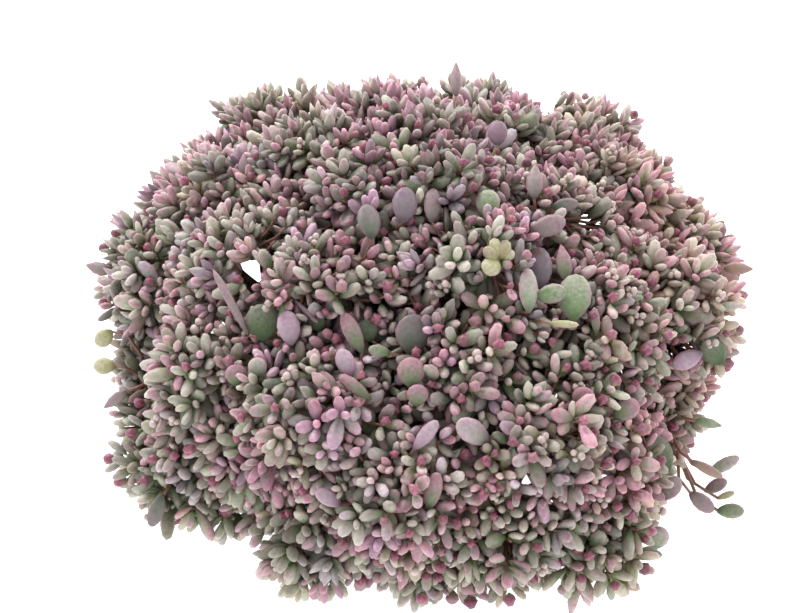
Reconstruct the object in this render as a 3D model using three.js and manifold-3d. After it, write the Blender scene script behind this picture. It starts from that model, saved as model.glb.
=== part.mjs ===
// A potted stonecrop in bud: a nursery pot, its potting mix, and a low dome of leafy stems.
// Each stem rises from its own hole in the mix, arches outwards and ends in a head of plump
// pebble-like leaves. Millimetres, +Z up, the origin at the centre of the pot's underside.
import * as THREE from "three";
import { mergeVertices } from "three/addons/utils/BufferGeometryUtils.js";
import Module from "manifold-3d";

const wasm = await Module();
wasm.setup();

// Pot
const POT_HEIGHT = 108;
const POT_TOP_RADIUS = 70;
const POT_BASE_RADIUS = 51;
const POT_WALL = 1.6;
const POT_FLOOR = 2.4;
const POT_SIDES = 24;
const RIM_BAND_HEIGHT = 15;
const RIM_BAND_SLOPE = 3;
const RIM_BAND_OUT = 2.6;
const LIP_OUT = 2.2;
const LIP_HEIGHT = 2.4;
const DRAIN_COUNT = 5;
const DRAIN_RADIUS = 5;
const DRAIN_CIRCLE_RADIUS = 36;
const DRAIN_SIDES = 6;

// Potting mix
const MIX_BELOW_RIM = 11;
const MIX_MOUND = 4;
const SEAT_GAP = 0.3;

// Dome of heads
const STEM_COUNT = 42;
const DOME_RADIUS = 160;
const DOME_RISE = 105;
const DOME_DROP = 92;
const DOME_CENTRE_Z = 119;
const LOWEST_LEAN = THREE.MathUtils.degToRad(112);
const CROWDING_AT_TOP = 1.22;
const DOME_SQUARENESS = 0.03;
const GOLDEN_ANGLE = Math.PI * (3 - Math.sqrt(5));
const FIRST_AZIMUTH = 0.6;
const PLACE_JITTER = 0.03;
const REACH_JITTER = 0.035;
// Stems that stray from the rule, by number: how far they reach, and how far round they stand
const STRAYS = {
  9: { reach: 0.97, turn: 0 },
  12: { reach: 0.97, turn: 0 },
  20: { reach: 1.04, turn: 0.02 },
  22: { reach: 1.03, turn: 0.08 },
  23: { reach: 1.05, turn: 0 },
  24: { reach: 1.02, turn: -0.03 },
  26: { reach: 0.95, turn: 0.02 },
  27: { reach: 1.06, turn: 0 },
  28: { reach: 1.03, turn: 0.05 },
  30: { reach: 0.94, turn: 0 },
  31: { reach: 1.02, turn: -0.06 },
  32: { reach: 0.96, turn: -0.12 },
  34: { reach: 0.95, turn: -0.04 },
  35: { reach: 1.04, turn: 0 },
  36: { reach: 1.03, turn: 0 },
  39: { reach: 1.01, turn: -0.1 },
};

// Head
const HEAD_DEPTH = 25;
const HUB_RADIUS = 20;
const HUB_HALF_HEIGHT = 12;
const HUB_NECK_RADIUS = 5.5;
const HUB_NECK_DEPTH = 18;
const HUB_FACES_ACROSS = 3;
const HUB_FACES_HIGH = 1;
const CELL_GAP = 0.4;
const LEAF_TILT = 0.1;
const LENGTH_VARIATION = 0.16;
const LEAST_SHARE = 0.2;
// Pebble leaves spread from a point this far below the hub's centre
const PEBBLE_FOCUS = 10;
const PEBBLE_WAIST_AT = 0.52;
const PEBBLE_PLUMPNESS = 0.8;
const TOP_PEBBLE = { length: 15 };
const SIDE_PEBBLE = { length: 23 };
// Large leaves hang below the head, and are widest near the tip
const LARGE_LEAF = { length: 25, width: 14, thickness: 3.6 };
const LARGE_LEAF_WAIST_AT = 0.6;
const LARGE_LEAF_CLEARANCE = 10;

// Stem
const STEM_RADIUS = 2;
const STEM_SIDES = 4;
const STEM_STEPS = 4;
const ROOTING_RADIUS = 49;
const ROOTING_DEPTH = 8;
const HOLE_RADIUS = 3.3;
const HOLE_SIDES = 4;
const HOLE_FOOT = 0.9;
const STEM_END_IN_HUB = 8;
const STEM_LEAST_RISE = 36;
const STEM_FIRST_LEAN = 8;
const STEM_ARCH = 0.42;
const STEM_TEST_POINTS = 24;

// Colours: a mauve grey that varies a little from head to head
const POT_COLOUR = 0x23241f;
const MIX_COLOUR = 0x3a2a20;
const PLANT_COLOUR = { hue: 0.93, hueRange: 0.05, saturation: 0.16, light: 0.55, lightRange: 0.08 };

const SEED = 7.31;
const DRAWS_PER_HEAD = 31;
const UP = new THREE.Vector3(0, 0, 1);

/** A repeatable draw from 0 to 1 for item i and purpose k. */
function draw(i, k) {
  const wave = Math.sin(i * 127.1 + k * 311.7 + SEED) * 43758.5453;
  return wave - Math.floor(wave);
}

/** The same draw, from -1 to 1. */
function sway(i, k) {
  return 2 * draw(i, k) - 1;
}

/** A closed geometry as a solid: only positions are kept, and collapsed faces are dropped. */
function solidFrom(geometry) {
  const bare = new THREE.BufferGeometry();
  bare.setAttribute("position", geometry.getAttribute("position").clone());
  if (geometry.index) bare.setIndex(geometry.index.clone());
  const merged = mergeVertices(bare, 1e-3);
  const corners = merged.index.array;
  const kept = [];
  for (let i = 0; i < corners.length; i += 3) {
    const [a, b, c] = corners.slice(i, i + 3);
    if (a !== b && b !== c && c !== a) kept.push(a, b, c);
  }
  return new wasm.Manifold(
    new wasm.Mesh({
      numProp: 3,
      vertProperties: merged.attributes.position.array,
      triVerts: new Uint32Array(kept),
    }),
  );
}

/** The largest body of a solid, so that no loose scrap of a join is kept. */
function mainBody(solid) {
  return solid.decompose().reduce((best, body) => (body.volume() > best.volume() ? body : best));
}

/** A solid as a geometry that a mesh can show. */
function geometryFrom(solid) {
  const { numProp, vertProperties, triVerts } = solid.getMesh();
  const geometry = new THREE.BufferGeometry();
  const positions = new Float32Array((vertProperties.length / numProp) * 3);
  for (let i = 0; i * 3 < positions.length; i++)
    positions.set(vertProperties.subarray(i * numProp, i * numProp + 3), i * 3);
  geometry.setAttribute("position", new THREE.BufferAttribute(positions, 3));
  geometry.setIndex(new THREE.BufferAttribute(new Uint32Array(triVerts), 1));
  geometry.computeVertexNormals();
  return geometry;
}

/** A named mesh with its own matt material. */
function named(name, geometry, colour, roughness) {
  const material = new THREE.MeshStandardMaterial({ color: colour, roughness, metalness: 0 });
  const mesh = new THREE.Mesh(geometry, material);
  mesh.name = name;
  return mesh;
}

/** A profile of [radius, height] pairs turned about the Z axis. */
function turned(profile, sides) {
  const points = profile.map(([radius, height]) => new THREE.Vector2(radius, height));
  return new THREE.LatheGeometry(points, sides).rotateX(Math.PI / 2);
}

/** A prism about the segment from one point to another. */
function prismBetween(from, to, radius, sides) {
  const axis = to.clone().sub(from);
  const prism = new THREE.CylinderGeometry(radius, radius, axis.length(), sides);
  const cylinderAxis = new THREE.Vector3(0, 1, 0);
  const turn = new THREE.Quaternion().setFromUnitVectors(cylinderAxis, axis.clone().normalize());
  const middle = from.clone().addScaledVector(axis, 0.5);
  return prism.applyQuaternion(turn).translate(middle.x, middle.y, middle.z);
}

/** The outer radius of the pot's wall at a height. */
function potRadiusAt(height) {
  return THREE.MathUtils.lerp(POT_BASE_RADIUS, POT_TOP_RADIUS, height / POT_HEIGHT);
}

/** The pot: tapered wall, banded rim with a lip, and a floor with drain holes. */
function makePot() {
  const bandLow = POT_HEIGHT - RIM_BAND_HEIGHT;
  const wallTop = bandLow - RIM_BAND_SLOPE;
  const bandOut = potRadiusAt(bandLow) + RIM_BAND_OUT;
  const rimOut = POT_TOP_RADIUS + RIM_BAND_OUT;
  const profile = [
    [0, 0],
    [POT_BASE_RADIUS, 0],
    [potRadiusAt(wallTop), wallTop],
    [bandOut, bandLow],
    [rimOut, POT_HEIGHT - LIP_HEIGHT],
    [rimOut + LIP_OUT, POT_HEIGHT - LIP_HEIGHT],
    [rimOut + LIP_OUT, POT_HEIGHT],
    [rimOut - POT_WALL, POT_HEIGHT],
    [bandOut - POT_WALL, bandLow + POT_WALL],
    [potRadiusAt(wallTop) - POT_WALL, wallTop + POT_WALL],
    [POT_BASE_RADIUS - POT_WALL, POT_FLOOR],
    [0, POT_FLOOR],
  ];
  let pot = solidFrom(turned(profile, POT_SIDES));
  for (let i = 0; i < DRAIN_COUNT; i++) {
    const angle = (i / DRAIN_COUNT) * 2 * Math.PI;
    const x = DRAIN_CIRCLE_RADIUS * Math.cos(angle);
    const y = DRAIN_CIRCLE_RADIUS * Math.sin(angle);
    const below = new THREE.Vector3(x, y, -1);
    const above = new THREE.Vector3(x, y, POT_FLOOR + 1);
    pot = pot.subtract(solidFrom(prismBetween(below, above, DRAIN_RADIUS, DRAIN_SIDES)));
  }
  return named("pot", geometryFrom(pot), POT_COLOUR, 0.55);
}

/** The top of the potting mix at a radius: slightly mounded. */
function mixTopAt(radius) {
  const edge = potRadiusAt(POT_HEIGHT - MIX_BELOW_RIM);
  return POT_HEIGHT - MIX_BELOW_RIM + MIX_MOUND * (1 - (radius / edge) ** 2);
}

/** Where stem i stands, which way its head faces, and where the hub of the head sits. */
function placeStem(i) {
  const share = ((i + 0.5) / STEM_COUNT) ** CROWDING_AT_TOP;
  const lean = Math.acos(1 - share * (1 - Math.cos(LOWEST_LEAN))) + PLACE_JITTER * sway(i, 1);
  const stray = STRAYS[i + 1] ?? { reach: 1 + REACH_JITTER * sway(i, 3), turn: 0 };
  const azimuth = FIRST_AZIMUTH + i * GOLDEN_ANGLE + PLACE_JITTER * sway(i, 2) + stray.turn;
  const out = new THREE.Vector3(Math.cos(azimuth), Math.sin(azimuth), 0);
  const rise = Math.cos(lean) > 0 ? DOME_RISE : DOME_DROP;
  const width = DOME_RADIUS * (1 - DOME_SQUARENESS * Math.cos(4 * azimuth));
  const crown = out.clone().multiplyScalar(width * stray.reach * Math.sin(lean));
  crown.z = DOME_CENTRE_Z + rise * stray.reach * Math.cos(lean);
  const facing = out.clone().multiplyScalar(Math.sin(lean) / width);
  facing.z = Math.cos(lean) / rise;
  facing.normalize();
  const hub = crown.clone().addScaledVector(facing, -HEAD_DEPTH);
  const rootRadius = ROOTING_RADIUS * Math.min(1, lean / LOWEST_LEAN);
  const root = out.clone().multiplyScalar(rootRadius);
  root.z = mixTopAt(rootRadius) - ROOTING_DEPTH;
  return { i, facing, hub, root, line: stemLine(root, out, lean, hub, facing) };
}

/** The line of a stem from its root to inside its head. */
function stemLine(root, out, lean, hub, facing) {
  const end = hub.clone().addScaledVector(facing, -STEM_END_IN_HUB);
  const rising = root.clone().addScaledVector(out, STEM_FIRST_LEAN * Math.sin(lean));
  rising.z += Math.max(STEM_LEAST_RISE, 0.5 * (end.z - root.z));
  const arriving = end.clone().addScaledVector(facing, -STEM_ARCH * root.distanceTo(end));
  return new THREE.CubicBezierCurve3(root, rising, arriving, end);
}

/** The planes halfway to every other head, which bound the room of one head. */
function cellOf(stem, stems) {
  return stems
    .filter((other) => other !== stem)
    .map((other) => {
      const normal = other.hub.clone().sub(stem.hub);
      const middle = stem.hub.clone().addScaledVector(normal, 0.5);
      return new THREE.Plane().setFromNormalAndCoplanarPoint(normal.normalize(), middle);
    });
}

/** The largest share of the way from a root to each point that stays in the cell. */
function shareInside(cell, root, points) {
  let share = 1;
  for (const plane of cell) {
    const start = plane.distanceToPoint(root) + CELL_GAP;
    for (const point of points) {
      const end = plane.distanceToPoint(point) + CELL_GAP;
      if (end > 0) share = Math.min(share, -start / (end - start));
    }
  }
  return share;
}

/** A corner of a box of half side 1 as a point of the hub: a flat ball with a neck below. */
function hubPoint(corner) {
  const { x, y, z } = corner;
  if (z < 0 && Math.abs(x) < 0.5 && Math.abs(y) < 0.5)
    return new THREE.Vector3(Math.sign(x), Math.sign(y), 0)
      .multiplyScalar(HUB_NECK_RADIUS)
      .addScaledVector(UP, -HUB_NECK_DEPTH);
  return new THREE.Vector3(
    HUB_RADIUS * x * Math.sqrt(1 - (y * y + z * z) / 2 + (y * y * z * z) / 3),
    HUB_RADIUS * y * Math.sqrt(1 - (x * x + z * z) / 2 + (x * x * z * z) / 3),
    HUB_HALF_HEIGHT * z * Math.sqrt(1 - (x * x + y * y) / 2 + (x * x * y * y) / 3),
  );
}

/** Which leaf a face of the hub is raised into, by the place of the face on its box. */
function leafForm(centre) {
  if (centre.z > 0.9) return TOP_PEBBLE;
  if (centre.z > -0.9) return SIDE_PEBBLE;
  const midSide = Math.abs(centre.x) < 0.1 !== Math.abs(centre.y) < 0.1;
  return midSide ? LARGE_LEAF : null;
}

/** The head of a stem: a hub whose outward faces are each raised into a pebble-like leaf. */
function headSolid(stem, stems) {
  const cell = cellOf(stem, stems);
  const [across, high] = [HUB_FACES_ACROSS, HUB_FACES_HIGH];
  const box = new THREE.BoxGeometry(2, 2, 2, across, across, high);
  const corners = box.getAttribute("position");
  const index = box.index.array;
  const tilt = new THREE.Quaternion().setFromUnitVectors(UP, stem.facing);
  const turn = new THREE.Quaternion().setFromAxisAngle(UP, draw(stem.i, 4) * Math.PI);
  const one = new THREE.Vector3(1, 1, 1);
  const place = new THREE.Matrix4().compose(stem.hub, tilt.multiply(turn), one);
  const triangles = [];
  const add = (...points) => points.forEach((point) => triangles.push(...point.toArray()));
  for (let q = 0; q < index.length; q += 6) {
    const four = [index[q], index[q + 1], index[q + 4], index[q + 2]].map((n) =>
      new THREE.Vector3().fromBufferAttribute(corners, n),
    );
    const quad = four.map((corner) => hubPoint(corner).applyMatrix4(place));
    const leaf = raiseLeaf(stem, quad, q / 6, leafForm(middleOf(four)));
    if (leaf && fitInside(cell, leaf) && clearOfStems(leaf, stem, stems)) addLeaf(quad, leaf, add);
    else addPlain(quad, add);
  }
  const geometry = new THREE.BufferGeometry();
  geometry.setAttribute("position", new THREE.Float32BufferAttribute(triangles, 3));
  return solidFrom(geometry);
}

/** The middle of some points. */
function middleOf(points) {
  const sum = points.reduce((total, point) => total.add(point), new THREE.Vector3());
  return sum.multiplyScalar(1 / points.length);
}

/** The root, the waist and the tip of the leaf raised from face k of the hub. */
function raiseLeaf(stem, quad, k, form) {
  if (!form) return null;
  const item = stem.i * DRAWS_PER_HEAD + k;
  const shift = new THREE.Vector3(sway(item, 5), sway(item, 6), sway(item, 7));
  const focus = stem.hub.clone();
  if (!form.width) focus.addScaledVector(stem.facing, -PEBBLE_FOCUS);
  const root = middleOf(quad);
  const way = root.clone().sub(focus).normalize().addScaledVector(shift, LEAF_TILT).normalize();
  const length = form.length * (1 + LENGTH_VARIATION * sway(item, 8));
  const tip = root.clone().addScaledVector(way, length);
  const waist = form.width
    ? flatWaist(quad, root, way, stem.facing, length, form)
    : plumpWaist(quad, root, focus, way, length);
  return { root, tip, waist, large: form === LARGE_LEAF };
}

/** The waist of a pebble leaf, which widens away from the focus as its neighbours do. */
function plumpWaist(quad, root, focus, way, length) {
  const centre = root.clone().addScaledVector(way, length * PEBBLE_WAIST_AT);
  const growth = 1 + (length * PEBBLE_WAIST_AT) / root.distanceTo(focus);
  return quad.map((corner) =>
    focus
      .clone()
      .addScaledVector(corner.clone().sub(focus), growth)
      .lerp(centre, 1 - PEBBLE_PLUMPNESS),
  );
}

/** The waist of a large leaf: wide and thin. */
function flatWaist(quad, root, way, facing, length, { width, thickness }) {
  const across = new THREE.Vector3().crossVectors(way, facing).normalize();
  const through = new THREE.Vector3().crossVectors(across, way);
  return quad.map((corner) => {
    const outward = corner.clone().sub(root);
    return root
      .clone()
      .addScaledVector(way, length * LARGE_LEAF_WAIST_AT)
      .addScaledVector(across, (Math.sign(outward.dot(across)) * width) / 2)
      .addScaledVector(through, (Math.sign(outward.dot(through)) * thickness) / 2);
  });
}

/** Shortens a leaf until it lies in the cell, and says whether enough of it is left. */
function fitInside(cell, { root, tip, waist }) {
  const share = shareInside(cell, root, [tip, ...waist]);
  for (const point of [tip, ...waist]) point.sub(root).multiplyScalar(share).add(root);
  return share > LEAST_SHARE;
}

/** Whether a large leaf keeps clear of every other stem; a pebble leaf always does. */
function clearOfStems({ root, tip, large }, stem, stems) {
  const axis = new THREE.Line3(root, tip);
  const nearest = new THREE.Vector3();
  const gapTo = (point) => axis.closestPointToPoint(point, true, nearest).distanceTo(point);
  const farFrom = (line) =>
    line.getSpacedPoints(STEM_TEST_POINTS).every((point) => gapTo(point) > LARGE_LEAF_CLEARANCE);
  return !large || stems.every((other) => other === stem || farFrom(other.line));
}

/** The faces of a raised leaf. */
function addLeaf(quad, { tip, waist }, add) {
  for (let n = 0; n < 4; n++) {
    const next = (n + 1) % 4;
    add(quad[n], quad[next], waist[next]);
    add(quad[n], waist[next], waist[n]);
    add(waist[n], waist[next], tip);
  }
}

/** A face of the hub left as it is. */
function addPlain(quad, add) {
  add(quad[0], quad[1], quad[3]);
  add(quad[1], quad[2], quad[3]);
}

/** A whole leafy stem as one solid. */
function stemSolid(stem, stems) {
  const section = new THREE.Shape(
    Array.from({ length: STEM_SIDES }, (_, n) => {
      const angle = (n / STEM_SIDES) * 2 * Math.PI;
      return new THREE.Vector2(STEM_RADIUS * Math.cos(angle), STEM_RADIUS * Math.sin(angle));
    }),
  );
  const path = { steps: STEM_STEPS, extrudePath: stem.line };
  return mainBody(solidFrom(new THREE.ExtrudeGeometry(section, path)).add(headSolid(stem, stems)));
}

/** The potting mix, which fills the pot and has a hole for each stem. */
function makeMix(stems) {
  const edgeTop = POT_HEIGHT - MIX_BELOW_RIM;
  const wallTop = POT_HEIGHT - RIM_BAND_HEIGHT - RIM_BAND_SLOPE;
  const inner = (height) => potRadiusAt(height) - POT_WALL - 2 * SEAT_GAP;
  const shoulder = 0.5 * inner(edgeTop);
  const profile = [
    [0, POT_FLOOR + SEAT_GAP],
    [inner(POT_FLOOR), POT_FLOOR + SEAT_GAP],
    [inner(wallTop), wallTop],
    [inner(edgeTop), edgeTop],
    [shoulder, mixTopAt(shoulder)],
    [0, mixTopAt(0)],
  ];
  let mix = solidFrom(turned(profile, POT_SIDES));
  for (const stem of stems) {
    const second = stem.line.getPointAt(1 / STEM_STEPS);
    const way = second.sub(stem.root).normalize();
    const foot = stem.root.clone().addScaledVector(way, -HOLE_FOOT);
    const above = stem.root.clone().addScaledVector(way, 2 * ROOTING_DEPTH);
    mix = mix.subtract(solidFrom(prismBetween(foot, above, HOLE_RADIUS, HOLE_SIDES)));
  }
  return named("potting_mix", geometryFrom(mix), MIX_COLOUR, 0.95);
}

/** The whole plant in its pot. */
function makePottedStonecrop() {
  const group = new THREE.Group();
  const stems = Array.from({ length: STEM_COUNT }, (_, i) => placeStem(i));
  group.add(makePot(), makeMix(stems));
  for (const stem of stems) {
    const { hue, hueRange, saturation, light, lightRange } = PLANT_COLOUR;
    const ownHue = hue + hueRange * draw(stem.i, 30);
    const ownLight = light + lightRange * draw(stem.i, 31);
    const colour = new THREE.Color().setHSL(ownHue, saturation, ownLight);
    const name = `stem_${String(stem.i + 1).padStart(2, "0")}`;
    group.add(named(name, geometryFrom(stemSolid(stem, stems)), colour, 0.6));
  }
  return group;
}

export default makePottedStonecrop();
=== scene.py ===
"""The looks of a potted stonecrop in bud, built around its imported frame.

Sizes are in millimetres and angles in degrees until a mesh is made, apart from leans and azimuths on
the dome, which are in radians. The heads are placed by the same rule as the part's own stems, so each
fine stem stands where its solid does.
"""

import logging
import math
from collections import defaultdict
from collections.abc import Callable, Iterable, Iterator
from dataclasses import dataclass, field
from enum import Enum

import bmesh
import bpy
import numpy as np
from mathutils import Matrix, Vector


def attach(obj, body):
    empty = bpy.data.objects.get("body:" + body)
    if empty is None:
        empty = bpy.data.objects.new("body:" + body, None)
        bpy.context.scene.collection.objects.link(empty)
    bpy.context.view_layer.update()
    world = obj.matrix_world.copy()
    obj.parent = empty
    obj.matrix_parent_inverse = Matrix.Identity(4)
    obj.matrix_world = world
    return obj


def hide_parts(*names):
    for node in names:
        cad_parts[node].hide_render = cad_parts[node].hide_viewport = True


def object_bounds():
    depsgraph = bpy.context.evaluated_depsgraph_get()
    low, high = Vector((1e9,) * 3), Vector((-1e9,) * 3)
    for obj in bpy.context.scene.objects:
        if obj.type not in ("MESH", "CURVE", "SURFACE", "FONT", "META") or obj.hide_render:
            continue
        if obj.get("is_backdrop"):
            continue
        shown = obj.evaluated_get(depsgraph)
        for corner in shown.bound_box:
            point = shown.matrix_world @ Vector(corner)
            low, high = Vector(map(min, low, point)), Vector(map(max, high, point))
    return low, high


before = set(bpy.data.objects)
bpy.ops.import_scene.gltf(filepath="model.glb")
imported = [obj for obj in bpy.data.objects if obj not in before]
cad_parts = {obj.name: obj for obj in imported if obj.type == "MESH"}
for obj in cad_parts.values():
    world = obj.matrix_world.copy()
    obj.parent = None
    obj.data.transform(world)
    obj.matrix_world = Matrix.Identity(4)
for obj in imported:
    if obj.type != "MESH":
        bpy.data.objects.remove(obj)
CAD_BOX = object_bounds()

log = logging.getLogger("stonecrop")

MM = 0.001
GOLDEN_ANGLE = math.pi * (3 - math.sqrt(5))
UP = np.array((0.0, 0.0, 1.0))


def unit(vector: np.ndarray) -> np.ndarray:
    """A vector, or each row of an array of vectors, at length 1."""
    return vector / np.linalg.norm(vector, axis=-1, keepdims=True)


def smooth(low: float, high: float, value: float) -> float:
    """A smooth step from 0 at low to 1 at high."""
    share = min(1.0, max(0.0, (value - low) / (high - low)))
    return share * share * (3 - 2 * share)


def across_to(axis: np.ndarray) -> tuple[np.ndarray, np.ndarray]:
    """Two unit vectors at right angles to an axis and to each other."""
    start = UP if abs(axis[2]) < 0.9 else np.array((1.0, 0.0, 0.0))
    first = unit(np.cross(start, axis))
    return first, np.cross(axis, first)


@dataclass(frozen=True)
class PhotoCamera:
    """The camera that sees the plant as the photograph does. Pixels are the photograph's."""

    image: tuple[int, int] = (800, 613)
    target: tuple[float, float, float] = (0.0, 0.0, 119.0)
    target_pixel: tuple[float, float] = (420.0, 322.0)
    elevation: float = 50.0
    distance: float = 640.0
    field_of_view: float = 35.0
    sensor: float = 36.0

    @property
    def forward(self) -> np.ndarray:
        """The way the camera looks."""
        tilt = math.radians(self.elevation)
        return np.array((0.0, math.cos(tilt), -math.sin(tilt)))

    @property
    def place(self) -> np.ndarray:
        """Where the camera stands."""
        return np.array(self.target) - self.distance * self.forward

    def ray(self, pixel: tuple[float, float]) -> np.ndarray:
        """The unit direction in which the camera sees a pixel."""
        focal = self.image[0] / 2 / math.tan(math.radians(self.field_of_view / 2))
        right = np.array((1.0, 0.0, 0.0))
        rise = np.cross(right, self.forward)
        x = (pixel[0] - self.target_pixel[0]) / focal
        y = (self.target_pixel[1] - pixel[1]) / focal
        return unit(self.forward + x * right + y * rise)

    def make(self) -> None:
        """Adds the camera to the scene."""
        bpy.ops.object.camera_add(location=self.place * MM)
        camera = bpy.context.object
        camera.name = "photo_camera"
        camera.rotation_euler = (math.radians(90 - self.elevation), 0, 0)
        camera.data.sensor_fit = "HORIZONTAL"
        camera.data.sensor_width = self.sensor
        camera.data.lens = self.sensor / 2 / math.tan(math.radians(self.field_of_view / 2))
        camera.data.shift_x = (self.image[0] / 2 - self.target_pixel[0]) / self.image[0]
        camera.data.shift_y = (self.target_pixel[1] - self.image[1] / 2) / self.image[0]
        camera.data.clip_start = 0.01
        camera.data.clip_end = 20
        bpy.context.scene.camera = camera


@dataclass(frozen=True)
class Head:
    """Where one stem stands and where its head sits."""

    number: int
    reach: float
    facing: np.ndarray
    hub: np.ndarray
    crown: np.ndarray
    line: np.ndarray

    @property
    def name(self) -> str:
        """The name of the stem's node."""
        return f"stem_{self.number:02d}"


@dataclass(frozen=True)
class Dome:
    """The rule that places the stems, as the part's source has it."""

    stem_count: int = 42
    radius: float = 160.0
    rise: float = 105.0
    drop: float = 92.0
    centre_height: float = 119.0
    lowest_lean: float = math.radians(112)
    crowding_at_top: float = 1.22
    squareness: float = 0.03
    first_azimuth: float = 0.6
    place_jitter: float = 0.03
    reach_jitter: float = 0.035
    head_depth: float = 25.0
    rooting_radius: float = 49.0
    rooting_depth: float = 8.0
    stem_end_in_hub: float = 8.0
    stem_least_rise: float = 36.0
    stem_first_lean: float = 8.0
    stem_arch: float = 0.42
    mix_edge_height: float = 97.0
    mix_edge_radius: float = 68.06
    mix_mound: float = 4.0
    seed: float = 7.31
    # Stems that stray from the rule, by number: how far they reach, and how far round they stand
    strays: dict[int, tuple[float, float]] = field(default_factory=lambda: {
        9: (0.97, 0), 12: (0.97, 0), 20: (1.04, 0.02), 22: (1.03, 0.08), 23: (1.05, 0),
        24: (1.02, -0.03), 26: (0.95, 0.02), 27: (1.06, 0), 28: (1.03, 0.05), 30: (0.94, 0),
        31: (1.02, -0.06), 32: (0.96, -0.12), 34: (0.95, -0.04), 35: (1.04, 0), 36: (1.03, 0),
        39: (1.01, -0.1),
    })

    def sway(self, item: int, purpose: int) -> float:
        """A repeatable draw from -1 to 1, the same as the part's source makes."""
        wave = math.sin(item * 127.1 + purpose * 311.7 + self.seed) * 43758.5453
        return 2 * (wave - math.floor(wave)) - 1

    def crown(self, lean: float, azimuth: float, reach: float) -> np.ndarray:
        """The point of the dome's surface at a lean and an azimuth."""
        width = self.radius * (1 - self.squareness * math.cos(4 * azimuth))
        rise = self.rise if math.cos(lean) > 0 else self.drop
        out = np.array((math.cos(azimuth), math.sin(azimuth), 0.0))
        height = self.centre_height + rise * reach * math.cos(lean)
        return out * width * reach * math.sin(lean) + UP * height

    def facing(self, lean: float, azimuth: float) -> np.ndarray:
        """The outward normal of the dome at a lean and an azimuth."""
        width = self.radius * (1 - self.squareness * math.cos(4 * azimuth))
        rise = self.rise if math.cos(lean) > 0 else self.drop
        out = np.array((math.cos(azimuth), math.sin(azimuth), 0.0))
        return unit(out * math.sin(lean) / width + UP * math.cos(lean) / rise)

    def mix_top(self, radius: float) -> float:
        """The height of the potting mix at a radius."""
        return self.mix_edge_height + self.mix_mound * (1 - (radius / self.mix_edge_radius) ** 2)

    def head(self, i: int) -> Head:
        """Stem i, counted from 0."""
        share = ((i + 0.5) / self.stem_count) ** self.crowding_at_top
        spread = 1 - math.cos(self.lowest_lean)
        lean = math.acos(1 - share * spread) + self.place_jitter * self.sway(i, 1)
        reach, turn = self.strays.get(i + 1, (1 + self.reach_jitter * self.sway(i, 3), 0))
        azimuth = self.first_azimuth + i * GOLDEN_ANGLE + self.place_jitter * self.sway(i, 2) + turn
        crown, facing = self.crown(lean, azimuth, reach), self.facing(lean, azimuth)
        hub = crown - facing * self.head_depth
        out = np.array((math.cos(azimuth), math.sin(azimuth), 0.0))
        root_radius = self.rooting_radius * min(1.0, lean / self.lowest_lean)
        root = out * root_radius + UP * (self.mix_top(root_radius) - self.rooting_depth)
        end = hub - facing * self.stem_end_in_hub
        climb = max(self.stem_least_rise, 0.5 * (end[2] - root[2]))
        rising = root + out * self.stem_first_lean * math.sin(lean) + UP * climb
        arriving = end - facing * self.stem_arch * np.linalg.norm(end - root)
        line = np.array((root, rising, arriving, end))
        return Head(i + 1, reach, facing, hub, crown, line)

    def heads(self) -> list[Head]:
        """All the stems."""
        return [self.head(i) for i in range(self.stem_count)]

    def spots(self, spacing: float, lowest: float, jitter: float,
              draws: np.random.Generator) -> Iterator[tuple[float, float]]:
        """Evenly spread places on the dome, from the top down.

        Args:
            spacing: how far apart the places lie.
            lowest: the largest lean, in radians.
            jitter: how far a place strays, as a share of the spacing.
            draws: where random numbers come from.

        Yields:
            The lean and the azimuth of each place.
        """
        leans = np.linspace(0, lowest, 600)
        rises = np.where(leans < math.pi / 2, self.rise, self.drop)
        slope = np.hypot(self.radius * np.cos(leans), rises * np.sin(leans))
        area = np.cumsum(2 * math.pi * self.radius * np.sin(leans) * slope) * (leans[1] - leans[0])
        count = int(area[-1] / (spacing * spacing * math.sqrt(0.75)))
        for k in range(count):
            stray = jitter * spacing / self.radius * draws.uniform(-1, 1, 2)
            lean = float(np.interp((k + 0.5) / count * area[-1], area, leans)) + stray[0]
            around = k * GOLDEN_ANGLE + stray[1] / max(0.2, math.sin(lean))
            yield max(0.0, lean), around

    def seen_at(self, camera: PhotoCamera, pixel: tuple[float, float], sink: float) -> np.ndarray:
        """The point behind a pixel of the photograph.

        Args:
            camera: the photograph's camera.
            pixel: the pixel.
            sink: how far behind the dome's surface the point lies.

        Returns:
            The point, or the one nearest the dome where the pixel's ray passes beside it.
        """
        ray = camera.ray(pixel)
        points = camera.place + np.arange(200.0, 1000.0, 0.5)[:, None] * ray
        high = points[:, 2] - self.centre_height
        axes = np.where(high > 0, self.rise, self.drop)
        level = np.hypot(np.hypot(points[:, 0], points[:, 1]) / self.radius, high / axes)
        inside = level < 1
        first = int(np.argmax(inside)) if inside.any() else int(np.argmin(level))
        return points[first] + ray * sink


@dataclass(frozen=True)
class Outline:
    """The lengthwise outline of a leaf or bud of length 1 and width 1."""

    sides: int
    rings: int
    widest: float
    base_taper: float
    tip_taper: float
    lobes: float = 1.0
    inner: float = 0.78

    def width(self, along: float) -> float:
        """The share of the full width at a share of the length."""
        if along < self.widest:
            return math.sin(math.pi / 2 * along / self.widest) ** self.base_taper
        return math.cos(math.pi / 2 * (along - self.widest) / (1 - self.widest)) ** self.tip_taper


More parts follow.
